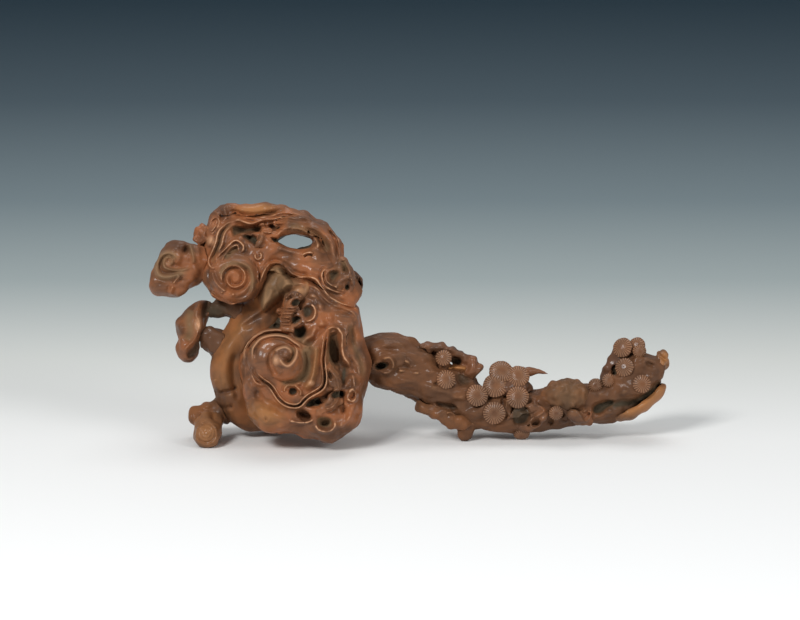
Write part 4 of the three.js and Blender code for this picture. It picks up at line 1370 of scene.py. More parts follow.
ROOT_SLIT = [(328, 372), (330.5, 371), (332.5, 376), (331.5, 381), (329, 379)]
PIT_RING = [(315, 424), (318, 429), (324, 431.5), (330, 431), (334.5, 427), (335, 421)]
BELLY_VALLEY = [(251, 384), (257, 394), (266, 403), (276, 409), (288, 413), (297, 417)]
BELLY_LINE = [(289, 420.5), (295, 422), (301, 422.8), (308, 422), (314, 419)]
LEFT_WALL = [(242, 362), (242, 376), (244, 390), (247, 402)]
FLANK_FOLD = [(346, 330), (347, 340), (350, 350), (354, 358), (358, 366), (360, 378)]
FLANK_FOLD_OUTER = [(354, 318), (357, 330), (359, 342), (363, 352), (367, 362)]
FLANK_VALLEY = [(350, 322), (352, 334), (354, 345), (358, 355), (362, 366), (363, 380)]
ROPE = [(351, 372), (354, 379), (354.5, 386), (351, 391), (348, 397), (350, 403)]
RING_LUMP = [(348, 393), (352, 389.5), (356, 393), (355.5, 399), (351, 401), (347.5, 398)]
FOOT_FOLD = [(338, 428), (346, 422), (352, 413), (355, 402), (357, 390)]
FOOT_VALLEY = [(336, 433), (346, 428), (353, 420), (358, 409)]
HOOK_RIDGE = [(325, 409), (331, 407.8), (336, 403), (339, 398.5)]
CHEEK = [(300, 345), (306, 339), (312, 335), (316, 326)]
TWIG_RECESS = [
    (267, 321), (274, 310), (279, 298), (286, 289), (298, 286), (309, 289), (317, 300), (317, 314),
    (309, 323), (307, 336), (298, 340), (290, 333), (280, 330), (268, 330),
]
FLANK_HOLLOW = [(343, 366), (348, 364), (352, 369), (350, 378), (345, 388), (341, 386), (340, 376)]
LOWER_LUMPS = [
    ((321, 306), 6, 6, 1.8),
    ((330.5, 317.5), 5, 5, 1.6),
    ((321.5, 324), 6, 5, 1.8),
    ((341, 316), 7, 6, 1.4),
    ((312, 296), 7, 4, 1.3),
    ((336, 307), 8, 4, 1.2),
    ((319, 340), 4, 8, 1.5),
    ((288.5, 290), 3.5, 3, -2.4),
    ((305, 289.5), 5, 2.5, -2.2),
    ((266, 419), 3, 3.5, -1.2),
    ((262, 412), 22, 18, 2.2),
    ((254, 389), 7, 8, 1.8),
    ((280, 427), 7, 4, 0.9),
    ((346, 338), 5, 10, 1.4),
    ((355, 345), 5, 10, 1.0),
    ((352, 420), 8, 8, 1.4),
    ((325, 433), 14, 6, 1.2),
]
TONGUE_RIM = [
    (252, 370), (257.5, 376), (263, 380.7), (268.7, 384.4), (272.4, 388.2), (275.5, 393), (279, 398.4),
    (284, 403), (289.5, 405.4), (296, 406), (300.4, 404.3), (304, 400.3), (309, 396), (314.5, 392.8),
    (320, 389.5), (323.2, 386), (324.8, 380.7), (324.8, 375), (323.9, 366.7), (323.2, 360), (324.2, 352),
    (325, 344), (326.3, 337.8), (327.4, 331),
]
OUTER_RIM = [
    (244, 362), (244.4, 351), (246.7, 345), (250, 340), (255, 336), (260, 333), (266, 331), (275, 330),
    (283, 331), (289, 334),
]
INNER_RIM = [
    (253, 362), (252.5, 350), (257, 342.5), (261, 338.8), (267, 336.4), (275, 335.3), (282, 336),
    (287.3, 337.4), (294, 342), (299, 345.5), (302, 350),
]
RIM_VALLEY = [(248, 356), (250, 346), (256, 339), (264, 334), (275, 332.5), (284, 333.5), (291, 338)]
CORNER_FOLD = [(250, 366), (252.8, 377), (257.5, 383.5), (266, 385.5)]
BELLY_WORN = (264, 414)
FOOT_SHADE = (336, 433)
BELLY_SHADE = (312, 424)
FLANK_EDGE = [(358, 336), (362, 350), (368, 364), (366, 380), (362, 396), (361, 410)]
RECESS_DUST = [(268, 300), (276, 290), (288, 288), (300, 291)]
CHEEK_DUST = [(296, 333), (303, 340), (309, 347), (310, 356)]
EDGE_FILL = [(288, 284), (298, 284), (309, 286), (318, 291), (326, 300), (337, 306)]
CORNER_FILL = [(300, 291), (290, 289), (281, 290)]
SLOT_DUST = (332, 350)
lower_deep = [
    hollow(TWIG_RECESS, 2.2, 6),
    hollow(EYE_GAP, 5, 2.5),
    hollow(SLOT, 1, 4),
    hollow(SLOT_DEEP, 2.6, 4),
    hollow(FLANK_HOLLOW, 4, 4),
    hollow(ROOT_PIT, 8, 2.5),
    hollow(CENTRE_PIT, 8, 2.5),
    hollow(LONG_PIT, 4, 2.5),
    hollow(OVAL_PIT, 3, 3),
    hollow(EYELET, 7, 2),
    hollow(SIDE_PIT, 3.5, 3),
    hollow(TWIG_GAP, 9, 2.5),
    hollow(STEM_GAP, 6, 3),
    hollow(DEEP_GAP, 5.5, 4),
    hollow(RING_PIT, 3.5, 3.5),
    ridge(BELLY_VALLEY, -1.8, 5.5, 4),
]
rim_fine = [
    double_rim(TONGUE_RIM, 2.4, 1.2, 3.8),
    ridge(OUTER_RIM, 2.2, 1.3),
    ridge(INNER_RIM, 2.2, 1.4),
    ridge(RIM_VALLEY, -1.8, 1.4),
    ridge(CORNER_FOLD, 1.5, 1.6),
]
rim_glint = [stripe(OUTER_RIM, 0.7, 1), stripe(INNER_RIM, 0.7, 1)]
lower_fine = rim_fine + [
    ridge(TOP_LIP, 1.9, 1.6, 2),
    ridge(LOWER_LIP, 2, 1.6, 1.4),
    ridge(SLOT_BANK, 1.9, 1.6, 2.2),
    ridge(SLOT_HOOD, 1.4, 1.4),
    ridge(PIT_RING, 1.4, 1.6),
    ridge(BELLY_LINE, 1.2, 1.3),
    ridge(LEFT_WALL, -1.4, 2.2),
    ridge(FLANK_FOLD, 1.6, 3.4, 4, moat=0.2),
    ridge(FLANK_FOLD_OUTER, 1.2, 3.4, moat=0.2),
    ridge(FLANK_VALLEY, -1, 2.6),
    ridge(ROPE, 1.8, 2.2),
    ridge(RING_LUMP, 1.4, 1.4),
    ridge(FOOT_FOLD, 1.5, 3),
    ridge(FOOT_VALLEY, -1.5, 2.6),
    ridge(HOOK_RIDGE, 1.9, 1.6),
    ridge(CHEEK, 1.6, 3),
    ridge(RING_RIM, 1.5, 1.3),
] + [bump(*lump) for lump in LOWER_LUMPS]
make(
    "lower_cap",
    "cap_wood",
    cap_wood,
    voxel=0.75,
    rounds=16,
    deep=lower_deep,
    fine=lower_fine,
    knots=(14, 0.5, 61),
    rough=(4.5, 0.1, 63),
    worn=[bump(BELLY_WORN, 28, 20, 0.65)],
    glint=rim_glint,
    dust=[
        bump(SLOT_DUST, 10, 30, 0.9),
        stripe(FLANK_VALLEY, 0.6, 3),
        stripe(RECESS_DUST, 0.9, 9),
        stripe(CHEEK_DUST, 0.8, 5),
        patch(OVAL_PIT, 0.9, 2),
    ],
    # Painted shade at the foot, under the belly and along the right edge.
    painted_shade=[
        bump(FOOT_SHADE, 22, 10, 0.8),
        bump(BELLY_SHADE, 36, 12, 0.6),
        stripe(FLANK_EDGE, 0.7, 6),
    ],
    strands=[strand(EDGE_FILL, 3.2, -2.5), strand(CORNER_FILL, 5, -5)],
)

# The tongue: a scroll plate laid on the lower cap, with a raised double rim and a drilled eyelet.
# It is pegged to the cap, and its spiral boss stands in the middle on a peg of its own.
BAND_FOLD = [
    (316.5, 346), (316.2, 351), (315.8, 357.4), (314.4, 366.7), (312.5, 376), (309, 384), (303, 389),
]
BAND_VALLEY = [(305, 350), (307.5, 360), (308, 370), (305, 377), (299, 382)]
EYELET_LEFT = [(284.3, 392), (284.8, 388.5), (287.3, 385.4), (290, 384.5)]
EYELET_RIGHT = [(294.5, 385.5), (298.5, 388.4), (300.8, 392), (300, 396)]
BOSS_MOAT = [(279, 381), (287, 383), (296, 381), (303, 375), (306.5, 365), (305.5, 354), (301, 346)]
MOAT_BANK = [(286, 384.5), (295, 384.5), (303, 380), (308, 372), (309.5, 362)]
TONGUE_DISH = [
    (294, 340), (302, 345), (310, 346), (314, 354), (313, 366), (309, 376), (302, 384), (291, 386),
    (281, 383), (276, 377), (286, 378), (296, 376), (302, 368), (303, 357), (299, 347),
]
TONGUE_SHOULDER = (260, 360)
TONGUE_BROW = (276, 342)
BAND_GLINT = (311, 383)
tongue_deep = [
    hollow(EYELET, 7, 2.2),
    hollow(TONGUE_DISH, 2, 4),
    bump(TONGUE_SHOULDER, 20, 26, 2.6),
    bump(TONGUE_BROW, 20, 9, 1.6),
    ridge(BELLY_VALLEY, -1.8, 5.5, 4),
]
tongue_fine = rim_fine + [
    ridge(BAND_FOLD, 2, 2.8),
    ridge(BAND_VALLEY, -1.6, 2.2),
    ridge(EYELET_LEFT, 1.3, 1.2),
    ridge(EYELET_RIGHT, 1.3, 1.2),
    ridge(MOAT_BANK, 1.3, 1.6),
    bump(BAND_GLINT, 5, 4, 1.2),
]
make(
    "tongue_scroll",
    "cap_wood",
    cap_wood,
    voxel=0.5,
    rounds=14,
    deep=tongue_deep,
    fine=tongue_fine,
    worn=[stripe(BAND_FOLD, 0.4, 3)],
    glint=rim_glint + [bump(BAND_GLINT, 5, 4, 0.8)],
    dust=[
        stripe(BOSS_MOAT, 0.9, 3.6),
        stripe(BAND_VALLEY, 0.8, 3),
        stripe(RIM_VALLEY, 0.8, 2),
        stripe(CHEEK_DUST, 0.8, 5),
    ],
)
BOSS_GROOVE = [
    (284, 359), (288, 361.3), (291.8, 358), (293.6, 352.5), (291.8, 346.8), (286.5, 344), (280, 344.4),
    (273.5, 347.5), (269.5, 353),
]
BOSS_INNER_LIP = [(274.5, 351.5), (279, 348.7), (285, 347.2), (290, 349.6), (292, 354.5)]
BOSS_OUTER_LIP = [
    (280, 357.5), (281.5, 361.5), (286.5, 365.7), (291.5, 363.6), (295, 358), (296.9, 351),
    (296.2, 345.5), (293, 342),
]
BOSS_CHEEK = [(276, 352), (274, 358), (273.6, 364), (278, 369.5), (284, 373)]
BOSS_DOME = (287, 361)
BOSS_LEFT = [(273, 345), (268, 351), (266, 360), (268, 369), (273, 377)]
BOSS_CREASE = [(275, 350), (272.5, 356), (272, 363), (274, 370), (278, 375)]
BOSS_PEAK = (277.3, 353.5)
BOSS_CORE = (285, 354)
BOSS_SHINE = (276, 360)
make(
    "spiral_boss",
    "cap_wood",
    cap_wood,
    voxel=0.45,
    rounds=60,
    fine=[
        bump(BOSS_DOME, 17, 19, 1.6),
        ridge(BOSS_LEFT, -3, 3, moat=0),
        ridge(BOSS_CREASE, -1.8, 1.6, moat=0),
        ridge(BOSS_GROOVE, -3.6, 2.6),
        ridge(BOSS_INNER_LIP, 1.0, 1.3, moat=0),
        ridge(BOSS_OUTER_LIP, 1.8, 1.4, 4.5, moat=0),
        ridge(BOSS_CHEEK, 1.2, 2.4, 4, moat=0),
        bump(BOSS_PEAK, 5, 6, 1.4),
        bump(BOSS_CORE, 6, 5, 1.2),
    ],
    glint=[
        bump(BOSS_SHINE, 5, 7, 0.7),
        stripe(BOSS_INNER_LIP, 0.6, 1),
        stripe(BOSS_OUTER_LIP, 0.6, 1.2),
    ],
    dust=[stripe(BOSS_GROOVE, 0.9, 2)],
    out=0.6,
)

# The knobbly twig and the root: openwork left standing in the hollows of the lower cap.
# Each is undercut all round and stays joined to the cap at its ends.
TWIG_STRIPES = [
    [(277, 308.5), (286, 307.5), (296, 308)],
    [(277.5, 311.5), (286, 310.5), (296, 311)],
    [(279, 314.5), (286, 313.5), (296, 314)],
]
STEM_STRIPES = [[(281, 318), (290, 317.5)], [(281, 321.5), (290, 321)], [(281, 325), (291, 324.5)]]
BEADS = [(286.5, 298), (289, 295.5), (293, 294), (297.5, 294), (300.5, 296.8)]
TWIG_SIDE = [
    (302, 289), (306, 284), (309, 288), (308, 302), (307, 316), (302, 316), (301.5, 308), (303, 298),
]
TWIG_LIMBS = [
    ([(277, 311), (284, 310.5), (292, 311), (300, 310.5)], 1.5),
    ([(286, 311), (286, 320), (287, 332)], 2.3),
    ([(287, 310), (286.5, 304), (286.5, 299), (289.5, 295.5), (294, 294), (299, 295), (301.5, 299)], 1.3),
    ([(290, 307), (294, 308), (299, 307)], 1),
    ([(282, 330), (288, 329), (294, 331)], 1.3),
    ([(293, 326.5), (297, 323.5), (301, 320.5)], 0.7),
]
make(
    "hollow_twig",
    "twig_wood",
    twig_wood,
    voxel=0.35,
    rounds=5,
    deep=[hollow(EYE_GAP, 8, 2), hollow(TWIG_SIDE, 6, 2.5), hollow(STEM_GAP, 6, 3)],
    fine=[ridge(stripe, 0.9, 0.9) for stripe in TWIG_STRIPES + STEM_STRIPES]
    + [bump(bead, 2, 2, 1.2) for bead in BEADS],
    knots=(4, 0.3, 71),
    strands=[strand(limb, girth, 1) for limb, girth in TWIG_LIMBS],
)
ROOT_LIMBS = [
    ([(326, 366), (330, 371), (333.5, 378), (335, 387)], 2.4),
    ([(327, 364), (333, 370), (337, 379), (338.5, 389)], 1.2),
    ([(321, 399), (325, 400), (329, 404), (334, 403.5), (340, 398.5)], 2),
    ([(317, 411), (325, 409.5), (331, 408), (336, 404)], 1.3),
]
ROOT_BACK = [(327.4, 365.8), (332, 372), (336, 377), (338.2, 383.5), (338.6, 390)]
make(
    "root_strand",
    "twig_wood",
    twig_wood,
    voxel=0.4,
    rounds=5,
    deep=[hollow(ROOT_SLIT, 4, 1.6), hollow(ROOT_PIT, 8, 2.5), hollow(CENTRE_PIT, 8, 2.5)],
    fine=[ridge(ROOT_BACK, 1.4, 1.8), ridge(HOOK_RIDGE, 1.4, 1.5)],
    knots=(6, 0.35, 72),
    strands=[strand(limb, girth, 1) for limb, girth in ROOT_LIMBS],
)

# The sprig at the right of the upper cap: a small curled leaf with a drilled eye, and a dark fin.
# They are carved thin, and seated on the edge of the cap.
LEAF_SHEET = [(343, 258), (346, 264), (350, 271), (352, 279), (351, 287)]
LEAF_TONGUE = [(351, 276.5), (345, 278), (340, 281), (337, 285), (334, 288)]
LEAF_TIP = [(336, 289.5), (340, 291), (344.5, 290.5)]
SHEET_VALLEY = [(343, 260), (344.5, 266), (345, 272)]
FIN_GAP = [(357, 284), (358.5, 279.5), (361, 281), (362, 286), (361.5, 291), (358, 291)]
FIN_EDGE = [(360, 271), (361.5, 276), (363.5, 282), (365.5, 288), (366, 292)]
FIN_HOOK = [(357.5, 279), (359, 277), (360.5, 278.5), (361, 282)]
STALK_LINES = [[(351, 278), (353.5, 284), (354, 291)], [(355, 279), (356, 286), (357, 295)]]
LEAF_LUMPS = [((338, 286), 5, 5, 1.2), ((353, 301), 8, 7, 1.2)]
sprig_fine = [
    ridge(CURL_OUTER, 1.5, 1.3),
    ridge(CURL_INNER, 1.3, 1.1),
    ridge(LEAF_SHEET, 1.5, 2),
    ridge(LEAF_TONGUE, 2.2, 3.2, 3.4),
    ridge(LEAF_TIP, 1.4, 1.6),
    ridge(SHEET_VALLEY, -2, 2),
    ridge(FIN_EDGE, 1.2, 1.4),
    ridge(FIN_HOOK, 1.2, 1),
]
sprig_fine += [ridge(line, 1.0, 1.3) for line in STALK_LINES]
sprig_fine += [bump(*lump) for lump in LEAF_LUMPS]
sprig_deep = [
    hollow(LEAF_EYE, 7, 2.2),
    hollow(CURL_HOLLOW, 5, 4),
    hollow(UNDER_LEAF, 4.5, 2),
    hollow(FIN_GAP, 6, 2),
]
make(
    "side_leaf",
    "twig_wood",
    twig_wood,
    voxel=0.45,
    rounds=8,
    deep=sprig_deep,
    fine=sprig_fine,
    dust=[stripe(SHEET_VALLEY, 0.8, 2.5), patch(CURL_HOLLOW, 0.8, 3)],
    knots=(7, 0.3, 81),
)
make(
    "side_fin",
    "twig_wood",
    twig_wood,
    voxel=0.4,
    rounds=5,
    deep=sprig_deep,
    fine=sprig_fine,
    knots=(6, 0.25, 82),
    tone_and_shade=0.8,
)

# The fungus at the far left: one curled cap that shows its spiral, pegged to the edge of the upper cap.
# A broad band winds out of the eye and sweeps off to the right as a long fold, over a plain lower lobe.
SIDE_EYE = (168, 261.5)
SIDE_COIL = [
    (175, 262), (174.8, 257), (171, 253.8), (165.5, 253.6), (160.5, 256.8), (157.3, 263), (156.5, 269.5),
    (159, 275), (164, 277.2), (171, 276.5), (180, 274), (190, 271.5),
]
SIDE_RING = [
    (168, 266), (171.8, 263.5), (172.3, 259.5), (169.3, 257), (165.6, 258.2), (163.7, 262), (164.6, 266.5),
    (168.5, 269), (175, 270.3), (184, 269.6), (194, 267),
]
SIDE_GROOVE = [
    (173.6, 260), (171.8, 256), (167.3, 255.3), (162.6, 258), (160.3, 264), (161, 270), (165, 273.3),
    (172, 273.5), (182, 272),
]
SIDE_STRIPE = [(189.5, 243), (192, 251), (193.5, 258), (194, 264)]
SIDE_HOLLOW = [(182, 247), (186, 244.5), (189, 247), (188.5, 253), (185, 256), (181.5, 252)]
SIDE_FOLD = [(173, 284), (175.7, 280.3), (178.8, 277.6), (180, 275.5)]
SIDE_LOBE = [(171, 296), (171.5, 291), (173, 286)]
SIDE_BAND = [(175, 250), (179, 255), (178.5, 260), (175, 264)]
SIDE_LUMPS = [
    ((160, 287), 9, 8, 1.4),
    ((185, 283), 9, 6, 1.2),
    ((172, 248), 9, 5, 1.2),
    ((197, 258), 6, 9, 1.2),
]
SIDE_SHADE = (178, 245)
make(
    "side_fungus",
    "cap_wood",
    cap_wood,
    voxel=0.5,
    rounds=12,
    deep=[hollow(SIDE_HOLLOW, 4, 4)],
    fine=[
        ridge(SIDE_COIL, 2.2, 2.2, moat=0.2),
        ridge(SIDE_RING, 1.5, 1.5, moat=0.2),
        ridge(SIDE_GROOVE, -1.3, 1.4),
        bump(SIDE_EYE, 2.4, 2.6, -0.8),
        ridge(SIDE_STRIPE, 1.3, 1.8),
        ridge(SIDE_BAND, 1.3, 2.4),
        ridge(SIDE_FOLD, 1.3, 1.2),
        ridge(SIDE_LOBE, 1.3, 1.8),
    ]
    + [bump(*lump) for lump in SIDE_LUMPS],
    knots=(11, 0.5, 91),
    rough=(5, 0.12, 93),
    glint=[stripe(SIDE_COIL, 0.3, 2.2), bump(SIDE_EYE, 6, 6, 0.4)],
    dust=[stripe(SIDE_COIL, 0.75, 3.4), stripe(SIDE_RING, 0.6, 2.5), stripe(SIDE_STRIPE, 0.6, 2.5)],
    painted_shade=[bump(SIDE_SHADE, 22, 12, 0.9)],
    tone_and_shade=0.15,
)

# The small fungus below it: a thin cap seen edge on, on two short stalks that come off the trunk.
# Its rim is a bright line with a painted highlight, with the pale top on the left and the gills on the right
# dark with painted shade.
FUNGUS_RIM = [
    (203, 299), (198, 306), (196, 315), (200, 323), (199.5, 331), (195, 339), (188, 346), (182, 353),
]
FUNGUS_GILLS = [
    (205, 299), (213, 303), (208, 316), (205, 330), (201, 342), (199, 354), (189, 360), (186, 353),
    (193, 345), (201, 333), (203, 322), (200, 312),
]
FUNGUS_VALLEY = [(192, 309), (189, 320), (190, 332), (186, 342)]
FUNGUS_HIGHLIGHT = (198, 324)
FUNGUS_CHEEK = (180, 329)
make(
    "small_fungus",
    "cap_wood",
    cap_wood,
    voxel=0.5,
    rounds=10,
    deep=[hollow(FUNGUS_GILLS, 3.5, 4)],
    fine=[
        ridge(FUNGUS_RIM, 1.8, 3, 1.6, moat=0),
        ridge(FUNGUS_VALLEY, -1.4, 4),
        bump(FUNGUS_CHEEK, 6, 9, 1.6),
    ],
    knots=(9, 0.35, 101),
    # A painted highlight on the middle of the rim.
    glint=[bump(FUNGUS_HIGHLIGHT, 5, 10, 1.0)],
    dust=[stripe(FUNGUS_VALLEY, 0.9, 5)],
    # Painted shade over the gills, and on the cheek.
    dark=[patch(FUNGUS_GILLS, 0.35, 3)],
    painted_shade=[patch(FUNGUS_GILLS, 0.9, 3), bump(FUNGUS_CHEEK, 7, 9, 0.7)],
    tone_and_shade=0.2,
)

# The handle's twigs, leaves and burl: small carved forms that grow out of the branch.
# Each follows the branch closely and is undercut at its edges.
CURL_LEAF_BACK = [
    (533.4, 398), (535, 402.6), (540, 405.8), (543.8, 410.6), (539, 414.6), (532.6, 418.6),
    (528.6, 422.6),
]
RUFFLE_EDGE = [(581, 412), (587, 410.5), (591, 413.4), (588.7, 419.3), (585, 423)]
LOOP_BAND = [(447, 369), (453, 367), (460, 368), (467, 369)]
LOOP_BACK = [(423, 347), (434, 347), (446, 347.5), (458, 352), (470, 358)]
LOOP_HOLE = [(449, 359), (453, 355.5), (459, 357), (463, 361), (461, 365.5), (454, 366), (450, 363)]
LOOP_GAP = (434, 354)
SNAG_RIDGE = [(446, 413), (451, 412.5), (456, 415)]
LEAF_ROLL = [(511, 430), (517, 427.5), (523, 426.5), (528, 427.5)]
LEAF_RIM = [(507, 428), (506.5, 421), (510.5, 416.5), (518, 416)]
CURL_FOOT = [(545, 424), (548, 425), (551, 427)]
RUFFLE_LOW = [(558, 419), (564, 422.5), (571, 421), (577, 416), (580, 411)]
BURL_LUMPS = [
    (552, 384), (561, 381), (571, 382), (580, 382.5), (588, 385), (556, 396), (566, 392), (577, 395),
]
handle_fine = [
    ridge(CURL_LEAF_BACK, 1.4, 1.8),
    ridge(RUFFLE_EDGE, 1.4, 1.6),
    ridge(LOOP_BAND, 1.5, 2),
    ridge(LOOP_BACK, 1.2, 3),
    ridge(SNAG_RIDGE, 1.5, 1.6),
    bump(LOOP_GAP, 4, 3.5, -4),
] + [bump(lump, 6, 5, 1.1) for lump in BURL_LUMPS]
BURL_MIDDLE = (570, 394)
CURL_LINES = [CURL_LEAF_BACK, LEAF_ROLL, LEAF_RIM, CURL_FOOT]
for form, slot, wood, voxel, form_age, knots, lines in (
    ("burl", "stem_wood", stem_wood, 0.5, 0.4, (4, 0.35, 111), []),
    ("middle_twig", "twig_wood", twig_wood, 0.45, 0.8, (6, 0.4, 117), []),
    ("tip_twig", "twig_wood", twig_wood, 0.45, 0.8, (6, 0.45, 118), []),
    ("loop_twig", "twig_wood", twig_wood, 0.4, 0.5, (6, 0.5, 112), [LOOP_BAND]),
    ("snag", "stem_wood", stem_wood, 0.45, 0.4, (7, 0.6, 113), []),
    ("spike_leaf", "twig_wood", twig_wood, 0.4, 0.4, (8, 0.3, 114), []),
    ("curled_leaf", "twig_wood", twig_wood, 0.4, 0.2, (6, 0.35, 115), CURL_LINES),
    ("ruffled_leaf", "twig_wood", twig_wood, 0.4, 0.2, (5, 0.4, 116), [RUFFLE_EDGE, RUFFLE_LOW]),
):
    make(
        form,
        slot,
        wood,
        voxel,
        rounds=6,
        deep=handle_cuts + [hollow(LOOP_HOLE, 5, 2.5)],
        fine=handle_fine,
        knots=knots,
        worn=[stripe(LOOP_BAND, 0.9, 2)],
        dark=handle_hollow_shade,
        dust=[bump(BURL_MIDDLE, 34, 26, 0.4)],
        strands=[strand(line, 1.2, 0.3) for line in lines],
        tone_and_shade=form_age,
    )

# The tip: a strip of paler bark under the upturned end, and the broken knob that ends the branch.
# Both are bare wood, rubbed pale by hands, with a painted highlight on the knob, and seated on the branch with
# glue.
BARK_LINE = [(620, 415), (634, 410), (646, 403), (656, 393), (664, 384)]
KNOB_GLINT = (665, 358)
KNOB_CLEFT = [(656, 352), (661, 356), (666, 361), (667, 366)]
make(
    "tip_bark",
    "end_wood",
    end_wood,
    voxel=0.45,
    rounds=6,
    fine=[ridge(BARK_LINE, 0.8, 3)],
    knots=(9, 0.3, 121),
    worn=[stripe(BARK_LINE, 0.5, 5)],
)
make(
    "tip_knob",
    "end_wood",
    end_wood,
    voxel=0.45,
    rounds=6,
    fine=[ridge(KNOB_CLEFT, -1, 1.6)],
    knots=(5, 0.5, 122),
    # A painted highlight on the knob, in the worn colour.
    worn=[bump(KNOB_GLINT, 7, 10, 0.8)],
    tone_and_shade=0.3,
)

# The needle fans: shallow domes of pine needles that spread from a small button to a toothed rim.
# Each is carved in one with a stub that stands in the branch, so its needles are ridges, not loose.
NEEDLES = 27
NEEDLES_RADIUS = 0.006
FEWEST_NEEDLES = 18
NEEDLE_FULLNESS = 0.56
NEEDLE_TIP = 0.0002
NEEDLE_SHORTEST = 0.95
NEEDLE_LONGEST = 1.01
FAN_CROWN = 0.0021
FAN_SPREAD = 1.04
FAN_SEED = 3
FAN_VOXEL = 32
# The fans' relief counts for more, so their ridges take more of the rubbed colour and their creases more
# painted shade.
FLUTE_GAIN = 2.5
FLUTE_START = (0.08, 0.5)
FLUTE_EDGE = (0, 0.9)
# Painted highlight on the flute crests and painted shade in the grooves.
FLUTE_GLINT = 0.24
FLUTE_GROOVE_SHADE = 0.45
FAN_AGE = 0.3
PLATE_DROP = -0.0012
PLATE_SHAPE = (0.97, 0.97, 0.1)
BUTTON_SHARE = 0.35
STUB_LENGTH = 0.003
needle_wood = carved_wood(
    "needle_wood",
    wood=colour(134, 91, 61),
    dark=colour(86, 58, 42),
    warm=colour(140, 90, 57),
    pale_rub_and_highlight=colour(212, 168, 130),
    stretch=(1, 1, 1),
)
fan = bpy.data.node_groups.new("needle_fan", "GeometryNodeTree")
for label, kind in (
    ("Radius", "NodeSocketFloat"),
    ("Crown", "NodeSocketFloat"),
    ("Needles", "NodeSocketInt"),
    ("Seed", "NodeSocketInt"),
    ("Wood", "NodeSocketMaterial"),
):
    fan.interface.new_socket(label, in_out="INPUT", socket_type=kind)
fan.interface.new_socket("Fan", in_out="OUTPUT", socket_type="NodeSocketGeometry")
asked = fan.nodes.new("NodeGroupInput")
spread = fan.nodes.new("NodeGroupOutput")


def fan_node(kind, *sources, **settings):
    """A node of the fan's tree, with its inputs fed in order by sockets or plain values."""
    node = fan.nodes.new(kind)
    for name, value in settings.items():
        setattr(node, name, value)
    for socket, source in zip(node.inputs, sources):
        if isinstance(source, bpy.types.NodeSocket):
            fan.links.new(source, socket)
        elif source is not None:
            socket.default_value = source
    return node


radius = asked.outputs["Radius"]
turn = fan_node("ShaderNodeMath", 2 * math.pi, asked.outputs["Needles"], operation="DIVIDE").outputs[0]
number = fan_node("GeometryNodeInputIndex").outputs[0]
bearing = fan_node("ShaderNodeMath", number, turn, operation="MULTIPLY")
heading = fan_node("FunctionNodeAxisAngleToRotation", (0, 0, 1), bearing.outputs[0])
half_width = fan_node("ShaderNodeMath", radius, turn, operation="MULTIPLY").outputs[0]
half_width = fan_node("ShaderNodeMath", half_width, NEEDLE_FULLNESS, operation="MULTIPLY").outputs[0]
needle = fan_node("GeometryNodeMeshCone")
for label, source in (("Radius Top", half_width), ("Depth", radius)):
    fan.links.new(source, needle.inputs[label])
needle.inputs["Vertices"].default_value = 8
needle.inputs["Side Segments"].default_value = 4
needle.inputs["Radius Bottom"].default_value = NEEDLE_TIP
laid = fan_node("GeometryNodeTransform", needle.outputs["Mesh"])
laid.inputs["Rotation"].default_value = (0, math.pi / 2, 0)
length = fan_node("FunctionNodeRandomValue", data_type="FLOAT")
length.inputs[2].default_value = NEEDLE_SHORTEST
length.inputs[3].default_value = NEEDLE_LONGEST
fan.links.new(asked.outputs["Seed"], length.inputs["Seed"])
row = fan_node("GeometryNodePoints", asked.outputs["Needles"])
needles = fan_node("GeometryNodeInstanceOnPoints", row.outputs[0])
fan.links.new(laid.outputs[0], needles.inputs["Instance"])
fan.links.new(heading.outputs[0], needles.inputs["Rotation"])
fan.links.new(length.outputs[1], needles.inputs["Scale"])
plate = fan_node("GeometryNodeMeshUVSphere", 28, 12, radius)
flat = fan_node("GeometryNodeTransform", plate.outputs["Mesh"])
flat.inputs["Scale"].default_value = PLATE_SHAPE
flat.inputs["Translation"].default_value = (0, 0, PLATE_DROP)
stub = fan_node("GeometryNodeMeshCone")
for label, share_of_radius in (("Radius Top", 0.6), ("Radius Bottom", 0.3)):
    girth = fan_node("ShaderNodeMath", radius, share_of_radius, operation="MULTIPLY").outputs[0]
    fan.links.new(girth, stub.inputs[label])
stub.inputs["Vertices"].default_value = 16
stub.inputs["Depth"].default_value = STUB_LENGTH
rooted = fan_node("GeometryNodeTransform", stub.outputs["Mesh"])
rooted.inputs["Translation"].default_value = (0, 0, PLATE_DROP - STUB_LENGTH)
small = fan_node("ShaderNodeMath", half_width, BUTTON_SHARE, operation="MULTIPLY").outputs[0]
button = fan_node("GeometryNodeMeshUVSphere", 14, 8, small)
joined = fan_node("GeometryNodeJoinGeometry")
for form in (needles.outputs[0], flat.outputs[0], button.outputs["Mesh"], rooted.outputs[0]):
    fan.links.new(form, joined.inputs[0])
whole = fan_node("GeometryNodeRealizeInstances", joined.outputs[0])
here = fan_node("GeometryNodeInputPosition").outputs[0]
sideways = fan_node("ShaderNodeVectorMath", here, (1, 1, 0), operation="MULTIPLY")
reach = fan_node("ShaderNodeVectorMath", sideways.outputs[0], operation="LENGTH").outputs["Value"]
share = fan_node("ShaderNodeMath", reach, radius, operation="DIVIDE").outputs[0]
fall = fan_node("ShaderNodeMath", share, 2, operation="POWER").outputs[0]
fall = fan_node("ShaderNodeMath", fall, asked.outputs["Crown"], operation="MULTIPLY").outputs[0]
drop = fan_node("ShaderNodeMath", 0, fall, operation="SUBTRACT").outputs[0]
rise = fan_node("ShaderNodeCombineXYZ", 0, 0, drop)
domed = fan_node("GeometryNodeSetPosition", whole.outputs[0])
fan.links.new(rise.outputs[0], domed.inputs["Offset"])
waxed = fan_node("GeometryNodeSetMaterial", domed.outputs[0], None, asked.outputs["Wood"])
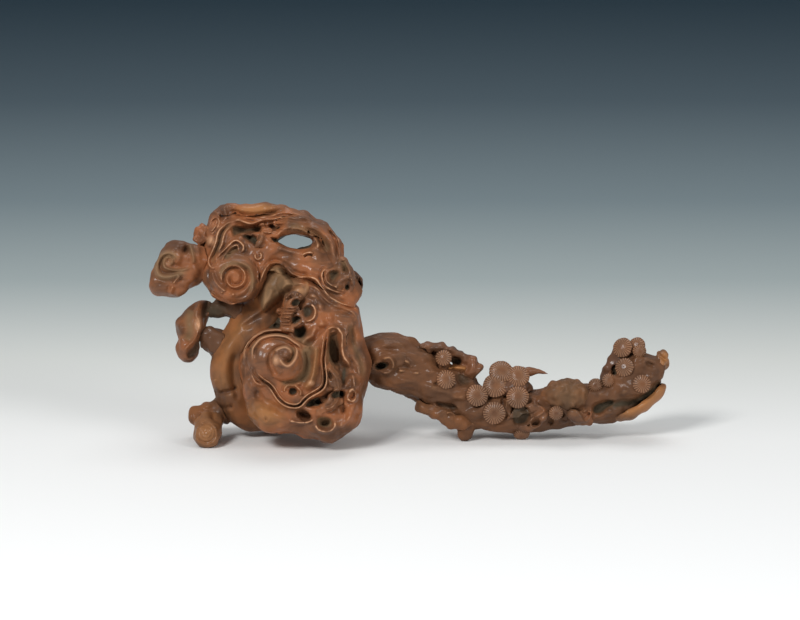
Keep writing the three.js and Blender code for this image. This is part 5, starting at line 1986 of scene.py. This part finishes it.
fan.links.new(waxed.outputs[0], spread.inputs[0])
fan_inputs = {item.name: item.identifier for item in fan.interface.items_tree if item.in_out == "INPUT"}


AXIS_ROUNDS = 4
FRONT_SHARE = 0.4
DOME_DEPTH = 0.004


def fan_axis(node, start):
    """The way a needle fan faces, the top of its dome and its radius, read from its CAD solid."""
    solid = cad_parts[node].data
    corners = np.array([vertex.co for vertex in solid.vertices])
    normals = np.array([face.normal for face in solid.polygons])
    areas = np.array([face.area for face in solid.polygons])
    axis = start
    for _ in range(AXIS_ROUNDS):
        front = normals @ axis > FRONT_SHARE
        axis = (normals[front] * areas[front, None]).sum(axis=0)
        axis = axis / np.linalg.norm(axis)
    heights = corners @ axis
    across = np.cross(axis, UP_THE_FACE)
    across = across / np.linalg.norm(across)
    top = heights.max() * axis
    radius = 0
    for way in (across, np.cross(axis, across)):
        reach = corners[heights > heights.max() - DOME_DEPTH] @ way
        top = top + (reach.max() + reach.min()) / 2 * way
        radius = max(radius, (reach.max() - reach.min()) / 2)
    return axis, top, radius


HIDDEN_FANS = ("rosette_18", "rosette_19", "rosette_20", "rosette_21", "rosette_22")
for index, node in enumerate(sorted(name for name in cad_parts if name.startswith("rosette"))):
    axis, top, radius = fan_axis(node, -TOWARDS_EYE if node in HIDDEN_FANS else TOWARDS_EYE)
    needle_count = max(FEWEST_NEEDLES, min(NEEDLES, round(NEEDLES * radius / NEEDLES_RADIUS)))
    piece = bpy.data.objects.new(node + "_carved", bpy.data.meshes.new(node + "_carved"))
    bpy.context.scene.collection.objects.link(piece)
    grown = piece.modifiers.new("fan", "NODES")
    grown.node_group = fan
    for label, value in (
        ("Radius", FAN_SPREAD * radius),
        ("Crown", FAN_CROWN),
        ("Needles", needle_count),
        ("Seed", FAN_SEED + index),
        ("Wood", needle_wood),
    ):
        grown[fan_inputs[label]] = value
    settle(piece)
    even_out(piece, FAN_VOXEL * radius, 1)
    points, _ = points_of(piece)
    # The flutes are painted too: a highlight along each needle and shade in each groove, over the fan's own
    # darker tone.
    flute = np.cos(needle_count * np.arctan2(points[:, 1], points[:, 0]))
    outer = smooth_step(*FLUTE_START, np.hypot(points[:, 0], points[:, 1]) / (1000 * radius))
    mark(piece, "glint", FLUTE_GLINT * outer * smooth_step(*FLUTE_EDGE, flute))
    mark(piece, "tone_and_shade", FAN_AGE + FLUTE_GROOVE_SHADE * outer * smooth_step(*FLUTE_EDGE, -flute))
    for name in ("depth", "dust", "worn"):
        mark(piece, name, np.zeros(len(points)))
    pose = Vector((0, 0, 1)).rotation_difference(Vector(axis)).to_matrix().to_4x4()
    piece.data.transform(Matrix.Translation(Vector(top)) @ pose)
    seat(piece, node, "needle_wood", needle_wood, FLUTE_GAIN)
